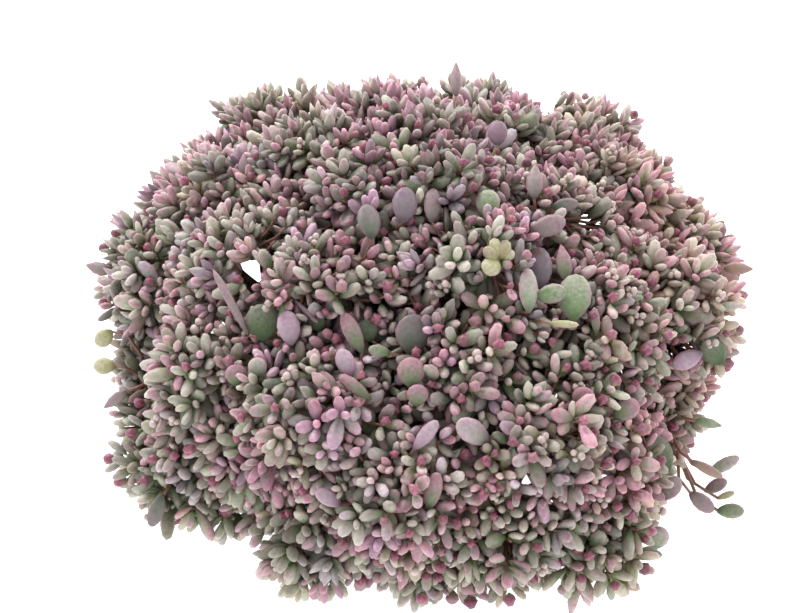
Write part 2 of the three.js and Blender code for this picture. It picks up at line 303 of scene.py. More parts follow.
class Kind(Enum):
    """The forms that are modelled once and copied."""

    PEBBLE = Outline(sides=8, rings=5, widest=0.56, base_taper=0.75, tip_taper=0.42)
    POINTED = Outline(sides=8, rings=5, widest=0.46, base_taper=0.8, tip_taper=0.9)
    SPOON = Outline(sides=8, rings=5, widest=0.66, base_taper=1.2, tip_taper=0.45)
    PLAIN = Outline(sides=6, rings=4, widest=0.6, base_taper=0.9, tip_taper=0.5)
    PADDLE = Outline(sides=10, rings=7, widest=0.56, base_taper=0.68, tip_taper=0.48)
    BUD = Outline(sides=10, rings=5, widest=0.6, base_taper=1.0, tip_taper=0.6, lobes=0.72, inner=1)
    KNOB = Outline(sides=6, rings=4, widest=0.55, base_taper=0.8, tip_taper=0.5, inner=1)


@dataclass
class Form:
    """A modelled shape: its base at the origin, its tip at height 1, its inner side to +Y.

    Each point has a place in the unfolded shape's square for each face's corner, and tells how near
    it lies to a ridge between two clefts, and to the leaf's margin, from 0 to 1.
    """

    points: np.ndarray
    faces: list[tuple[int, ...]]
    unfolded: np.ndarray
    ridges: np.ndarray
    margins: np.ndarray


class Workshop:
    """Models each repeated form once, in edit mode."""

    STALK_SIDES = 5
    STALK_STEPS = 4
    THICK_STALK_SIDES = 9
    THICK_STALK_STEPS = 18
    UNFOLD_MARGIN = 0.06

    def __init__(self) -> None:
        """Models every form."""
        self.forms = {kind: self.leaf_form(kind) for kind in Kind}
        self.stalk = self.stalk_form("stalk", self.STALK_SIDES, self.STALK_STEPS)
        self.thick_stalk = self.stalk_form(
            "thick_stalk", self.THICK_STALK_SIDES, self.THICK_STALK_STEPS)
        self.chip = self.crumb_form("chip", 3)
        self.grain = self.crumb_form("grain", 8)

    @staticmethod
    def select(shape: bpy.types.Object, test: Callable[[bmesh.types.BMVert], bool]) -> None:
        """Selects the vertices that pass a test, in edit mode."""
        mesh = bmesh.from_edit_mesh(shape.data)
        for vertex in mesh.verts:
            vertex.select_set(test(vertex))
        mesh.select_flush_mode()
        bmesh.update_edit_mesh(shape.data)

    def leaf_form(self, kind: Kind) -> Form:
        """A leaf or bud, shaped ring by ring from a ball.

        Args:
            kind: which form.

        Returns:
            The finished form.
        """
        outline = kind.value
        bpy.ops.object.select_all(action="DESELECT")
        bpy.ops.mesh.primitive_uv_sphere_add(
            segments=outline.sides, ring_count=outline.rings, radius=0.5, location=(0, 0, 0.5))
        shape = bpy.context.object
        bpy.ops.object.transform_apply(location=True)
        bpy.ops.object.mode_set(mode="EDIT")
        for ring in range(1, outline.rings):
            turn = math.pi * ring / outline.rings
            height = 0.5 - 0.5 * math.cos(turn)
            scale = outline.width(height) / math.sin(turn)
            self.select(shape, lambda v, z=height: abs(v.co.z - z) < 1e-3)
            bpy.ops.transform.resize(value=(scale, scale, 1), center_override=(0, 0, height))
        self.select(shape, lambda v: v.co.y > 1e-4)
        bpy.ops.transform.resize(value=(1, outline.inner, 1), center_override=(0, 0, 0.5))
        if outline.lobes != 1:
            step = 2 * math.pi / outline.sides
            self.select(shape, lambda v: round(math.atan2(v.co.y, v.co.x) / step) % 2 == 1)
            lobe = outline.lobes
            bpy.ops.transform.resize(value=(lobe, lobe, 1), center_override=(0, 0, 0.5))
        bpy.ops.object.mode_set(mode="OBJECT")
        return self.taken_from(shape)

    def stalk_form(self, name: str, sides: int, steps: int) -> Form:
        """A straight round stalk with rings to bend it at."""
        bpy.ops.object.select_all(action="DESELECT")
        bpy.ops.mesh.primitive_cylinder_add(vertices=sides, radius=0.5, depth=1, location=(0, 0, 0.5))
        shape = bpy.context.object
        shape.name = name
        bpy.ops.object.transform_apply(location=True)
        bpy.ops.object.mode_set(mode="EDIT")
        for step in range(1, steps):
            bpy.ops.mesh.select_all(action="SELECT")
            bpy.ops.mesh.bisect(plane_co=(0, 0, step / steps), plane_no=(0, 0, 1))
        bpy.ops.object.mode_set(mode="OBJECT")
        return self.taken_from(shape)

    def crumb_form(self, name: str, seed: int) -> Form:
        """An irregular crumb about 1 across, centred on the origin."""
        bpy.ops.object.select_all(action="DESELECT")
        bpy.ops.mesh.primitive_ico_sphere_add(subdivisions=1, radius=0.5)
        shape = bpy.context.object
        shape.name = name
        bpy.ops.object.mode_set(mode="EDIT")
        bpy.ops.mesh.select_all(action="SELECT")
        bpy.ops.transform.vertex_random(offset=0.09, seed=seed)
        bpy.ops.object.mode_set(mode="OBJECT")
        return self.taken_from(shape)

    def taken_from(self, shape: bpy.types.Object) -> Form:
        """Reads a modelled object as a form, and removes the object.

        Args:
            shape: the object.

        Returns:
            Its points and faces, and its two halves laid flat side by side in a square.
        """
        mesh = shape.data
        points = np.array([vertex.co[:] for vertex in mesh.vertices])
        faces = [tuple(polygon.vertices) for polygon in mesh.polygons]
        unfolded = []
        for face in faces:
            left = points[list(face), 1].mean() > 0
            for corner in face:
                x, _, z = points[corner]
                half = self.UNFOLD_MARGIN + (x + 0.5) * (0.5 - 2 * self.UNFOLD_MARGIN)
                high = self.UNFOLD_MARGIN + z * (1 - 2 * self.UNFOLD_MARGIN)
                unfolded.append((half if left else half + 0.5, high))
        bpy.data.objects.remove(shape)
        bpy.data.meshes.remove(mesh)
        x, z = np.abs(points[:, 0]), points[:, 2]
        spread = np.linalg.norm(points[:, :2], axis=1)
        rings = [np.abs(z - height) < 1e-3 for height in z]
        ridges = (spread > 0.97 * np.array([spread[ring].max() for ring in rings])).astype(float)
        half_widths = np.array([x[ring].max() for ring in rings])
        margins = np.where(half_widths > 1e-3, x / np.maximum(half_widths, 1e-3), z)
        return Form(points, faces, np.array(unfolded), ridges, margins)


class Skin(Enum):
    """The material slots of a leafy stem."""

    LEAF = 0
    BUD = 1
    STALK = 2


@dataclass(frozen=True)
class Tint:
    """How one leaf is coloured, each from 0 to 1. Its tone also holds painted shade."""

    rosiness: float
    greenness: float
    # Painted shade: a low value darkens the leaf where it lies in shade, on top of its own random tone
    tone_and_shade: float
    warmth: float


class Bunch:
    """Copies of the modelled forms, each with its own place and tint, grown into one mesh."""

    def __init__(self, name: str) -> None:
        """Starts an empty bunch."""
        self.name = name
        self.points: list[np.ndarray] = []
        self.faces: list[tuple[int, ...]] = []
        self.skins: list[int] = []
        self.unfolded: list[np.ndarray] = []
        self.growth: list[np.ndarray] = []
        self.tints: list[np.ndarray] = []
        self.count = 0

    def add(self, form: Form, placed: np.ndarray, skin: Skin, tint: Tint) -> None:
        """Adds one copy of a form.

        Args:
            form: the form.
            placed: the form's points, where this copy has them.
            skin: its material slot.
            tint: its colouring.
        """
        self.faces += [tuple(corner + self.count for corner in face) for face in form.faces]
        self.skins += [skin.value] * len(form.faces)
        self.count += len(placed)
        self.points.append(placed)
        self.unfolded.append(form.unfolded)
        _, y, z = form.points.T
        outermost = form.ridges if skin is Skin.BUD else form.margins
        self.growth.append(np.column_stack((z, y + 0.5, outermost)))
        values = (tint.rosiness, tint.greenness, tint.tone_and_shade, tint.warmth)
        self.tints.append(np.tile(np.clip(values, 0, 1), (len(placed), 1)))

    def build(self, materials: list[bpy.types.Material]) -> bpy.types.Object:
        """Makes the bunch one object at the origin.

        Args:
            materials: one for each skin.

        Returns:
            The object.
        """
        mesh = bpy.data.meshes.new(self.name)
        mesh.from_pydata(np.concatenate(self.points) * MM, [], self.faces)
        mesh.polygons.foreach_set("material_index", self.skins)
        mesh.polygons.foreach_set("use_smooth", [True] * len(self.faces))
        growth = mesh.attributes.new("growth", "FLOAT_VECTOR", "POINT")
        growth.data.foreach_set("vector", np.concatenate(self.growth).ravel())
        tint = mesh.attributes.new("tint", "FLOAT_COLOR", "POINT")
        tint.data.foreach_set("color", np.concatenate(self.tints).ravel())
        across = math.ceil(math.sqrt(len(self.unfolded)))
        cells = [
            (flat + (k % across, k // across)) / across for k, flat in enumerate(self.unfolded)
        ]
        mesh.uv_layers.new(name="OFBake").uv.foreach_set("vector", np.concatenate(cells).ravel())
        for material in materials:
            mesh.materials.append(material)
        piece = bpy.data.objects.new(self.name, mesh)
        bpy.context.collection.objects.link(piece)
        return piece


@dataclass
class Leaf:
    """One leaf or bud at its place. Rows stand for the tries that are compared."""

    kind: Kind
    base: np.ndarray
    along: np.ndarray
    inner: np.ndarray
    length: np.ndarray
    width: float
    thickness: float
    cup: float

    BALLS_AT = np.array((0.3, 0.58, 0.85))
    BALL_SIZES = np.array((0.75, 1.0, 0.8))

    def balls(self) -> np.ndarray:
        """Three balls that stand for each try of the leaf: tries, balls, and place with radius."""
        at = self.BALLS_AT[None, :, None]
        length = self.length[:, None, None]
        places = (self.base[:, None] + self.along[:, None] * length * at
                  + self.inner[:, None] * self.cup * length * at ** 2)
        scale = (self.length / self.length[0])[:, None]
        radii = 0.5 * math.sqrt(self.width * self.thickness) * self.BALL_SIZES * scale
        return np.concatenate((places, radii[:, :, None]), axis=2)

    def placed(self, form: Form, row: int) -> np.ndarray:
        """The points of a form as one try has them."""
        length = self.length[row]
        scale = length / self.length[0]
        across = np.cross(self.inner[row], self.along[row])
        x, y, z = form.points.T[:, :, None]
        return (self.base[row] + across * self.width * scale * x
                + self.inner[row] * (self.thickness * scale * y + self.cup * length * z ** 2)
                + self.along[row] * length * z)


class Thicket:
    """The room that is taken, as small balls sorted into cells."""

    CELL = 7.0

    def __init__(self) -> None:
        """Starts with all the room free."""
        self.cells: defaultdict[tuple[int, ...], list[np.ndarray]] = defaultdict(list)

    def take(self, balls: Iterable[np.ndarray]) -> None:
        """Takes the room of some balls, each a place and a radius."""
        for ball in balls:
            self.cells[tuple((ball[:3] // self.CELL).astype(int))].append(ball)

    def overlaps(self, tries: np.ndarray) -> np.ndarray:
        """How far each try reaches into room that is taken.

        Args:
            tries: tries, balls, and place with radius.

        Returns:
            The deepest overlap of each try, below 0 where it is clear.
        """
        places = tries[..., :3].reshape(-1, 3)
        low = (places.min(axis=0) // self.CELL).astype(int) - 1
        high = (places.max(axis=0) // self.CELL).astype(int) + 2
        near = [
            ball
            for x in range(low[0], high[0])
            for y in range(low[1], high[1])
            for z in range(low[2], high[2])
            for ball in self.cells.get((x, y, z), ())
        ]
        if not near:
            return np.full(len(tries), -self.CELL)
        taken = np.array(near)
        gaps = np.linalg.norm(tries[:, :, None, :3] - taken[None, None, :, :3], axis=3)
        reach = tries[:, :, None, 3] + taken[None, None, :, 3]
        return (reach - gaps).max(axis=(1, 2))


@dataclass(frozen=True)
class Whorl:
    """One level of a sprig: leaves or buds around its axis."""

    height: float
    splay: float
    count: int
    length: float
    kinds: tuple[Kind, ...]
    width: float
    thickness: float
    cup: float
    may_overlap: float


SMALL_LEAVES = (Kind.PEBBLE, Kind.PEBBLE, Kind.SPOON)
SHARP_LEAVES = (Kind.POINTED, Kind.POINTED, Kind.PEBBLE)


class Habit(Enum):
    """The ways in which the sprigs grow, each as its levels from the top down."""

    BUDDED = (
        Whorl(5.8, 30, 3, 5.8, (Kind.BUD,), 0.9, 0.9, 0.0, 1.3),
        Whorl(2.6, 30, 2, 10.8, SMALL_LEAVES, 0.45, 0.37, 0.06, 1.0),
        Whorl(0.4, 50, 2, 12.4, SMALL_LEAVES, 0.45, 0.34, 0.08, 0.9),
        Whorl(-2.6, 70, 3, 12.8, (Kind.PLAIN,), 0.5, 0.34, 0.05, 0.9),
    )
    OPEN = (
        Whorl(3.4, 18, 2, 10.0, SMALL_LEAVES, 0.46, 0.38, 0.04, 1.4),
        Whorl(1.8, 38, 2, 11.8, SMALL_LEAVES, 0.45, 0.36, 0.08, 1.0),
        Whorl(-0.2, 54, 2, 12.8, SMALL_LEAVES, 0.45, 0.33, 0.08, 0.9),
        Whorl(-3.0, 70, 3, 13.0, (Kind.PLAIN,), 0.5, 0.34, 0.05, 0.9),
    )
    KNOBBED = (
        Whorl(7.0, 24, 3, 3.8, (Kind.KNOB,), 0.96, 0.96, 0.0, 1.0),
        Whorl(6.0, 62, 5, 4.0, (Kind.KNOB,), 0.96, 0.96, 0.0, 1.0),
        Whorl(1.2, 42, 2, 11.6, SMALL_LEAVES, 0.45, 0.36, 0.08, 1.0),
        Whorl(-1.2, 62, 3, 12.8, SMALL_LEAVES, 0.45, 0.34, 0.05, 0.9),
    )
    CLOSED = (
        Whorl(3.6, 9, 2, 10.2, (Kind.POINTED,), 0.43, 0.35, 0.04, 1.4),
        Whorl(1.6, 22, 2, 12.0, SHARP_LEAVES, 0.45, 0.34, 0.10, 1.0),
        Whorl(-0.6, 38, 2, 12.8, SHARP_LEAVES, 0.46, 0.32, 0.12, 0.9),
        Whorl(-3.4, 64, 2, 13.0, (Kind.PLAIN,), 0.5, 0.32, 0.06, 0.9),
    )


BRANCHLET_PAIR = Whorl(0, 62, 2, 14.5, (Kind.PLAIN,), 0.56, 0.28, 0.08, 1.3)
STEM_PAIR = Whorl(0, 66, 2, 22.0, (Kind.PADDLE,), 0.62, 0.17, 0.08, 2.2)


@dataclass
class Sprig:
    """A small leafy shoot at the dome's surface."""

    head: int
    base: np.ndarray
    axis: np.ndarray
    turn: float
    habit: Habit
    tint: Tint
    size: float
    stalk: np.ndarray
    leaves: int = 0


@dataclass(frozen=True)
class Showpiece:
    """A large leaf that the photograph shows plainly, placed by the pixels of its base and tip."""

    base: tuple[float, float]
    tip: tuple[float, float]
    sink: float
    width: float
    thickness: float
    turn: float
    tint: Tint
    kind: Kind = Kind.PADDLE
    cup: float = 0.06
    clear: float = 2.5


# Tints of the large leaves. A tone near 0 is painted shade, for leaves that lie in shade among the
# others.
SHADED_GREEN = Tint(0.25, 1.0, 0.05, 0.25)
GREEN = Tint(0.3, 0.97, 0.5, 0.2)
PALE_GREEN = Tint(0.4, 0.85, 0.65, 0.15)
YELLOW_GREEN = Tint(0.0, 1.0, 0.75, 0.6)
LILAC = Tint(0.5, 0.25, 0.5, 0.05)
SHADED_PURPLE = Tint(0.6, 0.3, 0.05, 0.12)
MAUVE = Tint(0.5, 0.45, 0.3, 0.18)
PINK = Tint(0.85, 0.8, 0.35, 0.3)
BROWN = Tint(0.5, 0.5, 0.25, 0.8)
GREY_GREEN = Tint(0.45, 0.6, 0.55, 0.12)
SHADED_SAGE = Tint(0.45, 0.88, 0.1, 0.12)
SHADED_SLATE = Tint(0.45, 0.45, 0.05, 0.0)
OLIVE = Tint(0.1, 0.97, 0.5, 0.7)

# Base and tip in pixels of the photograph, then sink, width, thickness and turn
SHOWPIECES = (
    # The valley from the left to the middle
    Showpiece((262, 342), (265, 304), 6, 17, 3.6, 0, SHADED_GREEN, clear=5),
    Showpiece((292, 346), (286, 311), 0, 10.5, 4.2, 0, LILAC, clear=6),
    Showpiece((250, 338), (216, 275), 1, 4.0, 4.0, 0, MAUVE, Kind.PEBBLE, 0.2, 0.6),
    Showpiece((322, 332), (312, 312), 8, 8, 3.6, 0, SHADED_GREEN),
    Showpiece((372, 342), (362, 320), 9, 11, 3.6, 0, SHADED_GREEN, clear=5),
    Showpiece((391, 353), (368, 349), 4, 5.5, 3.0, 0, GREEN, clear=5),
    Showpiece((363, 354), (343, 313), 1, 8.0, 5.0, 0, PINK),
    Showpiece((265, 300), (292, 283), 1, 2.4, 3.4, 0, PINK, Kind.PEBBLE),
    Showpiece((292, 298), (319, 324), 2, 2.8, 3.4, 0, SHADED_PURPLE, Kind.PEBBLE),
    Showpiece((236, 386), (236, 364), 2, 10, 4.0, 0, PINK),
    Showpiece((258, 378), (257, 357), 3, 8.5, 4.0, 0, PALE_GREEN),
    Showpiece((412, 356), (413, 314), 6, 16, 4.2, 10, SHADED_SAGE),
    # The back
    Showpiece((403, 224), (406, 188), 4, 12, 3.6, 10, SHADED_SLATE, clear=1),
    Showpiece((432, 224), (433, 189), 6, 8.5, 4.0, 15, MAUVE, clear=1),
    Showpiece((488, 218), (488, 190), 3, 11.5, 5.0, 0, GREEN),
    Showpiece((372, 240), (366, 205), 3, 11, 3.6, 20, SHADED_SAGE, clear=2),
    Showpiece((534, 200), (535, 165), 3, 8.5, 4.0, 0, MAUVE, Kind.POINTED),
    # The green leaves right of the middle, and those around them
    Showpiece((529, 233), (565, 220), 1, 10, 4.5, 0, MAUVE),
    Showpiece((551, 207), (578, 203), 5, 6.5, 3.6, 0, SHADED_SAGE),
    Showpiece((529, 314), (527, 269), 1, 9, 3.8, 20, PALE_GREEN, clear=6),
    Showpiece((541, 290), (538, 248), 7, 12, 3.6, 0, SHADED_SLATE, clear=4),
    Showpiece((535, 297), (566, 291), 0, 9.0, 4.6, 0, GREEN, clear=9),
    Showpiece((573, 322), (576, 275), 1, 15.5, 4.6, -5, GREEN, clear=9),
    Showpiece((546, 323), (579, 325), 0, 3.4, 3.4, 0, YELLOW_GREEN, Kind.PEBBLE),
    Showpiece((567, 284), (561, 245), 4, 7.5, 3.6, 0, PINK, Kind.POINTED),
    Showpiece((597, 336), (594, 307), 2, 4.2, 3.4, 0, PINK, Kind.PEBBLE),
    # The yellow-green rosette, and the thin leaf above it
    Showpiece((497, 257), (486, 275), -6, 9.0, 4.8, 0, YELLOW_GREEN, clear=9),
    Showpiece((498, 262), (484, 247), -5, 5.5, 4.4, 0, OLIVE, Kind.PEBBLE, clear=9),
    Showpiece((499, 261), (493, 238), -5, 6.5, 4.6, 20, YELLOW_GREEN, Kind.PEBBLE, clear=9),
    Showpiece((500, 260), (507, 240), -6, 6.5, 4.6, -15, OLIVE, Kind.PEBBLE, clear=9),
    Showpiece((502, 261), (514, 251), -5, 5.0, 4.4, 0, YELLOW_GREEN, Kind.PEBBLE, clear=9),
    Showpiece((501, 262), (512, 267), -4, 4.4, 4.0, 0, PINK, Kind.PEBBLE, clear=6),
    Showpiece((488, 244), (501, 219), -2, 3.2, 3.2, 0, GREY_GREEN, Kind.PEBBLE, 0.15),
    # The front
    Showpiece((411, 388), (411, 357), 0, 12.5, 5.0, 0, PINK),
    Showpiece((417, 407), (418, 384), 1, 9.5, 4.6, 0, PINK),
    Showpiece((338, 398), (318, 372), 1, 8.0, 5.0, 0, MAUVE),
    Showpiece((352, 378), (340, 349), 1, 8.5, 5.0, 0, LILAC),
    Showpiece((372, 400), (339, 375), 1, 6.0, 5.0, 0, PINK, Kind.PEBBLE),
    Showpiece((490, 443), (456, 421), 0, 10.5, 6.0, 0, GREY_GREEN),
    Showpiece((526, 436), (499, 423), 0, 6.0, 5.0, 0, LILAC),
    Showpiece((413, 451), (438, 420), 0, 6.5, 5.0, 0, LILAC),
    Showpiece((428, 511), (438, 471), 1, 7.5, 4.6, 0, PINK),
    Showpiece((342, 506), (315, 490), 1, 7.0, 5.0, 0, LILAC),
    Showpiece((613, 418), (638, 402), 1, 10.0, 5.4, 0, PINK),
    Showpiece((582, 411), (584, 386), 1, 10.0, 5.4, 0, PINK),
    Showpiece((669, 472), (645, 437), 1, 15.5, 3.6, 0, SHADED_GREEN, clear=7),
    Showpiece((655, 549), (662, 526), 1, 10.0, 4.6, 0, PALE_GREEN),
    # The back edge, the right edge and the left edge
    Showpiece((456, 98), (456, 62), 0, 6.0, 4.0, 0, MAUVE, Kind.POINTED),
    Showpiece((498, 146), (497, 121), 2, 10.0, 4.0, 0, SHADED_PURPLE),
    Showpiece((722, 365), (706, 337), 5, 14.0, 3.0, 0, SHADED_GREEN, clear=6),
    Showpiece((703, 352), (672, 367), 3, 9.0, 4.0, 0, LILAC, clear=6),
    Showpiece((722, 268), (753, 269), 0, 6.5, 3.6, 0, BROWN, Kind.POINTED),
    Showpiece((716, 308), (743, 305), 0, 5.0, 3.6, 0, PALE_GREEN, Kind.POINTED),
    Showpiece((694, 420), (722, 426), 0, 5.0, 3.4, 0, GREEN, Kind.POINTED),
    Showpiece((112, 330), (97, 345), 0, 8.5, 3.4, 0, YELLOW_GREEN),
    Showpiece((116, 366), (94, 366), 0, 8.5, 3.4, 0, YELLOW_GREEN),
    Showpiece((112, 272), (86, 265), 0, 7.0, 4.0, 0, MAUVE, Kind.POINTED),
    Showpiece((128, 390), (104, 408), 0, 5.6, 4.0, 0, MAUVE, Kind.POINTED),
    # The twig at the lower right
    Showpiece((707, 474), (739, 457), 0, 6.5, 3.6, 0, PALE_GREEN),
    Showpiece((690, 460), (722, 477), 0, 5.0, 3.4, 0, BROWN),
    Showpiece((704, 492), (727, 480), 0, 6.5, 3.6, 0, MAUVE),
    Showpiece((716, 499), (735, 492), 0, 3.4, 3.2, 0, YELLOW_GREEN),
    Showpiece((716, 511), (745, 511), 0, 7.5, 3.6, 0, GREEN),
    Showpiece((689, 492), (713, 511), 0, 8.0, 3.8, 0, MAUVE),
    # Two lower leaves
    Showpiece((662, 500), (679, 478), 0, 8.5, 3.8, 0, MAUVE),
    Showpiece((163, 494), (151, 526), 0, 7.5, 3.6, 0, SHADED_SAGE),
)


@dataclass(frozen=True)
class Hollow:
    """A gap among the leaves: its pixel, its half width and height there, and its depth."""

    pixel: tuple[float, float]
    half_width: float
    half_height: float
    depth: float

    PIXEL_STEP = 4.0
    DEPTH_STEP = 3.0
    ABOVE = 9.0
    BALL_RADIUS = 1.6

    def balls(self, dome: Dome, camera: PhotoCamera) -> Iterator[np.ndarray]:
        """Small balls that keep the gap free, from just above the dome's surface down."""
        for dx in np.arange(-self.half_width, self.half_width + 0.1, self.PIXEL_STEP):
            for dy in np.arange(-self.half_height, self.half_height + 0.1, self.PIXEL_STEP):
                if (dx / self.half_width) ** 2 + (dy / self.half_height) ** 2 > 1.05:
                    continue
                pixel = (self.pixel[0] + dx, self.pixel[1] + dy)
                start, ray = dome.seen_at(camera, pixel, -self.ABOVE), camera.ray(pixel)
                for depth in np.arange(0.0, self.depth + self.ABOVE, self.DEPTH_STEP):
                    yield np.append(start + ray * depth, self.BALL_RADIUS)


HOLLOWS = (
    Hollow((270, 238), 9, 11, 26),
    Hollow((548, 247), 7, 9, 26),
    Hollow((494, 285), 12, 8, 22),
    Hollow((566, 337), 9, 6, 20),
    Hollow((300, 350), 5, 8, 18),
    Hollow((250, 272), 9, 12, 300),
    Hollow((590, 222), 9, 8, 300),
    Hollow((684, 352), 14, 8, 300),
    Hollow((508, 546), 5, 9, 300),
    Hollow((548, 94), 10, 19, 120),
    Hollow((571, 222), 6, 9, 30),
)


@dataclass(frozen=True)
class Bulge:
    """Where the dome's outline stands out from the plain rule, or draws in from it."""

    pixel: tuple[float, float]
    out: float
    spread: float = 22.0


BULGES = (
    Bulge((733, 328), 13),
    Bulge((710, 215), 5),
    Bulge((680, 180), 5),
    Bulge((600, 92), 4),
    Bulge((515, 85), -4),
    Bulge((420, 75), 4),
    Bulge((283, 95), -8),
    Bulge((205, 120), 9),
    Bulge((140, 195), 5),
    Bulge((120, 225), 12),
    Bulge((98, 285), -2),
    Bulge((98, 325), 6),
    Bulge((105, 395), -32, 28.0),
    Bulge((113, 440), 17),
    Bulge((133, 488), 3),
    Bulge((188, 532), -10),
    Bulge((230, 545), -25, 26.0),
    Bulge((278, 590), 16),
    Bulge((632, 590), 6),
    Bulge((705, 435), -24, 32.0),
    Bulge((655, 550), -6),
    Bulge((330, 318), -9, 26.0),
    Bulge((420, 340), -7, 20.0),
    Bulge((545, 262), -6, 16.0),
    Bulge((360, 262), 4, 24.0),
    Bulge((250, 300), -4, 18.0),
    Bulge((450, 210), -4, 20.0),
)


class Stonecrop:
    """The whole plant: its stems, and the sprigs of their heads."""

    SEED = 20
    SPRIG_SPACING = 12.9
    SPRIG_JITTER = 0.3
    LOWEST_SPRIG = math.radians(119)
    SPRIG_DEPTH = 12.0
    CELL_RADIUS = 31.0
    VALLEY_DEPTH = 11.0
    HEIGHT_JITTER = 3.4
    FANNING = 0.5
    AXIS_JITTER = 0.24
    LEVELS = 4
    TRIES = 6
    LONG_LEAF_SHARE = 0.12
    LONG_LEAF = 1.35
    SPRIG_STALK_INSIDE = 4.5
    BRANCHING_LENGTH = 12.0
    LOWEST_STEM_LEAF = 0.3
    STEM_LEAF_STEP = 5.5
    BRANCHLET_LEAVES = (0.82, 0.64, 0.46, 0.3)
    EXTRA_SINK = 5.0
    MOST_LEAN = 0.5
    CLEARING_STEP = 2.5
    CLEARING_DEPTH_STEP = 3.0
    CLEARING_BALL = 1.5
    # Diameters at the foot and at the end
    MAIN_STALK = (4.4, 3.4)
    UPPER_STALK = (3.4, 2.6)
    LARGE_LEAF_STALK = (2.0, 1.5)
    BRANCHLET = (2.0, 1.3)

    def __init__(self, workshop: Workshop, camera: PhotoCamera) -> None:
        """Plans the sprigs of every head."""
        self.workshop = workshop
        self.camera = camera
        self.dome = Dome()
        self.heads = self.dome.heads()
        self.draws = np.random.default_rng(self.SEED)
        self.thicket = Thicket()
        self.bunches = [Bunch(f"leafy_{head.name}") for head in self.heads]
        self.bulges = [
            (self.dome.seen_at(camera, bulge.pixel, 0), bulge.out, bulge.spread) for bulge in BULGES
        ]
        self.sprigs = list(self.plan_sprigs())

    def nearest_head(self, point: np.ndarray) -> int:
        """The index of the head whose hub is nearest to a point."""
        return int(np.argmin([np.linalg.norm(point - head.hub) for head in self.heads]))

    def plan_sprigs(self) -> Iterator[Sprig]:
        """Sprigs all over the dome, each in the head that has the room for it."""
        draws = self.draws
        spots = self.dome.spots(self.SPRIG_SPACING, self.LOWEST_SPRIG, self.SPRIG_JITTER, draws)
        for lean, azimuth in spots:
            facing = self.dome.facing(lean, azimuth)
            index = self.nearest_head(
                self.dome.crown(lean, azimuth, 1) - self.dome.head_depth * facing)
            head = self.heads[index]
            crown = self.dome.crown(lean, azimuth, head.reach)
            aside = crown - head.crown
            aside = aside - head.facing * (aside @ head.facing)
            edge = smooth(0.35, 1.05, float(np.linalg.norm(aside)) / self.CELL_RADIUS)
            depth = self.SPRIG_DEPTH + self.VALLEY_DEPTH * edge - self.bulge_at(crown)
            depth += self.HEIGHT_JITTER * draws.uniform(-1, 1)
            axis = unit(facing + self.FANNING * aside / self.CELL_RADIUS
                        + self.AXIS_JITTER * draws.uniform(-1, 1, 3))
            base = crown - facing * depth
            size = draws.uniform(0.9, 1.12) + 0.1 * self.rim_at(crown)
            yield Sprig(index, base, axis, draws.uniform(0, math.pi), self.habit_at(crown),
                        self.tint_at(crown, index), size,
                        self.stalk_line(head, base + axis * self.SPRIG_STALK_INSIDE, axis))

    def bulge_at(self, crown: np.ndarray) -> float:
        """How far the dome stands out at a place, beyond the plain rule."""
        return sum(out * math.exp(-(np.linalg.norm(crown - centre) / spread) ** 2)
                   for centre, out, spread in self.bulges)

    def stalk_line(self, head: Head, tip: np.ndarray, axis: np.ndarray) -> np.ndarray:
        """The control points of a branchlet, from the top of a stem to inside a sprig."""
        foot = head.line[3] + head.facing * self.draws.uniform(0, self.BRANCHING_LENGTH)
        span = float(np.linalg.norm(tip - foot))
        return np.array((foot, foot + head.facing * 0.35 * span, tip - axis * 0.4 * span, tip))

    @staticmethod
    def rim_at(crown: np.ndarray) -> float:
        """From 0 over most of the dome to 1 on its lower rim at the front and the left."""
        return smooth(165, 105, crown[2]) * smooth(165, -40, crown[0] + crown[1])

    def habit_at(self, crown: np.ndarray) -> Habit:
        """A habit for a sprig, more often closed at the back and near the rim."""
        closed = 0.06 + 0.6 * smooth(-20, 90, crown[1])
        if self.draws.uniform() < closed:
            return Habit.CLOSED
        draw = self.draws.uniform()
        budded = 0.38 + 0.3 * smooth(-60, 60, crown[0])
        if draw < budded:
            return Habit.BUDDED
        return Habit.KNOBBED if draw < budded + 0.13 else Habit.OPEN

    def tint_at(self, crown: np.ndarray, index: int) -> Tint:
        """The colouring that the sprigs have in common at a place of the dome, with painted shade."""
        own = self.dome.sway(index, 30)
        outward = smooth(20, 150, math.hypot(crown[0], crown[1]))
        rim = self.rim_at(crown)
        rosiness = 0.37 + 0.14 * own + 0.13 * smooth(-120, 30, crown[0]) - 0.22 * rim
        return Tint(
            rosiness=rosiness + self.draws.normal(0, 0.2),
            greenness=0.46 + 0.46 * rim + self.draws.normal(0, 0.15),
            # Painted shade: darker towards the middle of the dome, lighter towards its rim
            tone_and_shade=0.43 + 0.15 * outward + self.draws.normal(0, 0.1),
            warmth=0.22 + 0.28 * smooth(40, 150, crown[0]) + self.draws.normal(0, 0.1),
        )

    def leaf_tint(self, shared: Tint, lower: float, kind: Kind) -> Tint:
        """The colouring of one leaf, with painted shade that darkens the lower ones.

        Args:
            shared: the colouring of its sprig.
            lower: from 0 at the top of the sprig to 1 at its lowest leaves.
            kind: its form.

        Returns:
            The leaf's own colouring.
        """
        draws = self.draws
        if kind is Kind.BUD:
            return Tint(draws.uniform(0.45, 1), draws.uniform(),
                        shared.tone_and_shade + draws.normal(0, 0.15), shared.warmth)
        if kind is Kind.KNOB:
            return Tint(draws.uniform(0.0, 0.3), 0, shared.tone_and_shade + draws.normal(0.1, 0.12),
                        shared.warmth)
        # Painted shade: the lower leaves are darker, as they lie deeper among the others
        return Tint(shared.rosiness + draws.normal(0, 0.18) - 0.15 * lower,
                    min(0.8 + 0.1 * lower, shared.greenness + 0.35 * lower + draws.normal(0, 0.18)),
                    shared.tone_and_shade + 0.14 - 0.32 * lower + draws.normal(0, 0.15),
                    shared.warmth + 0.1 * lower + draws.normal(0, 0.07))

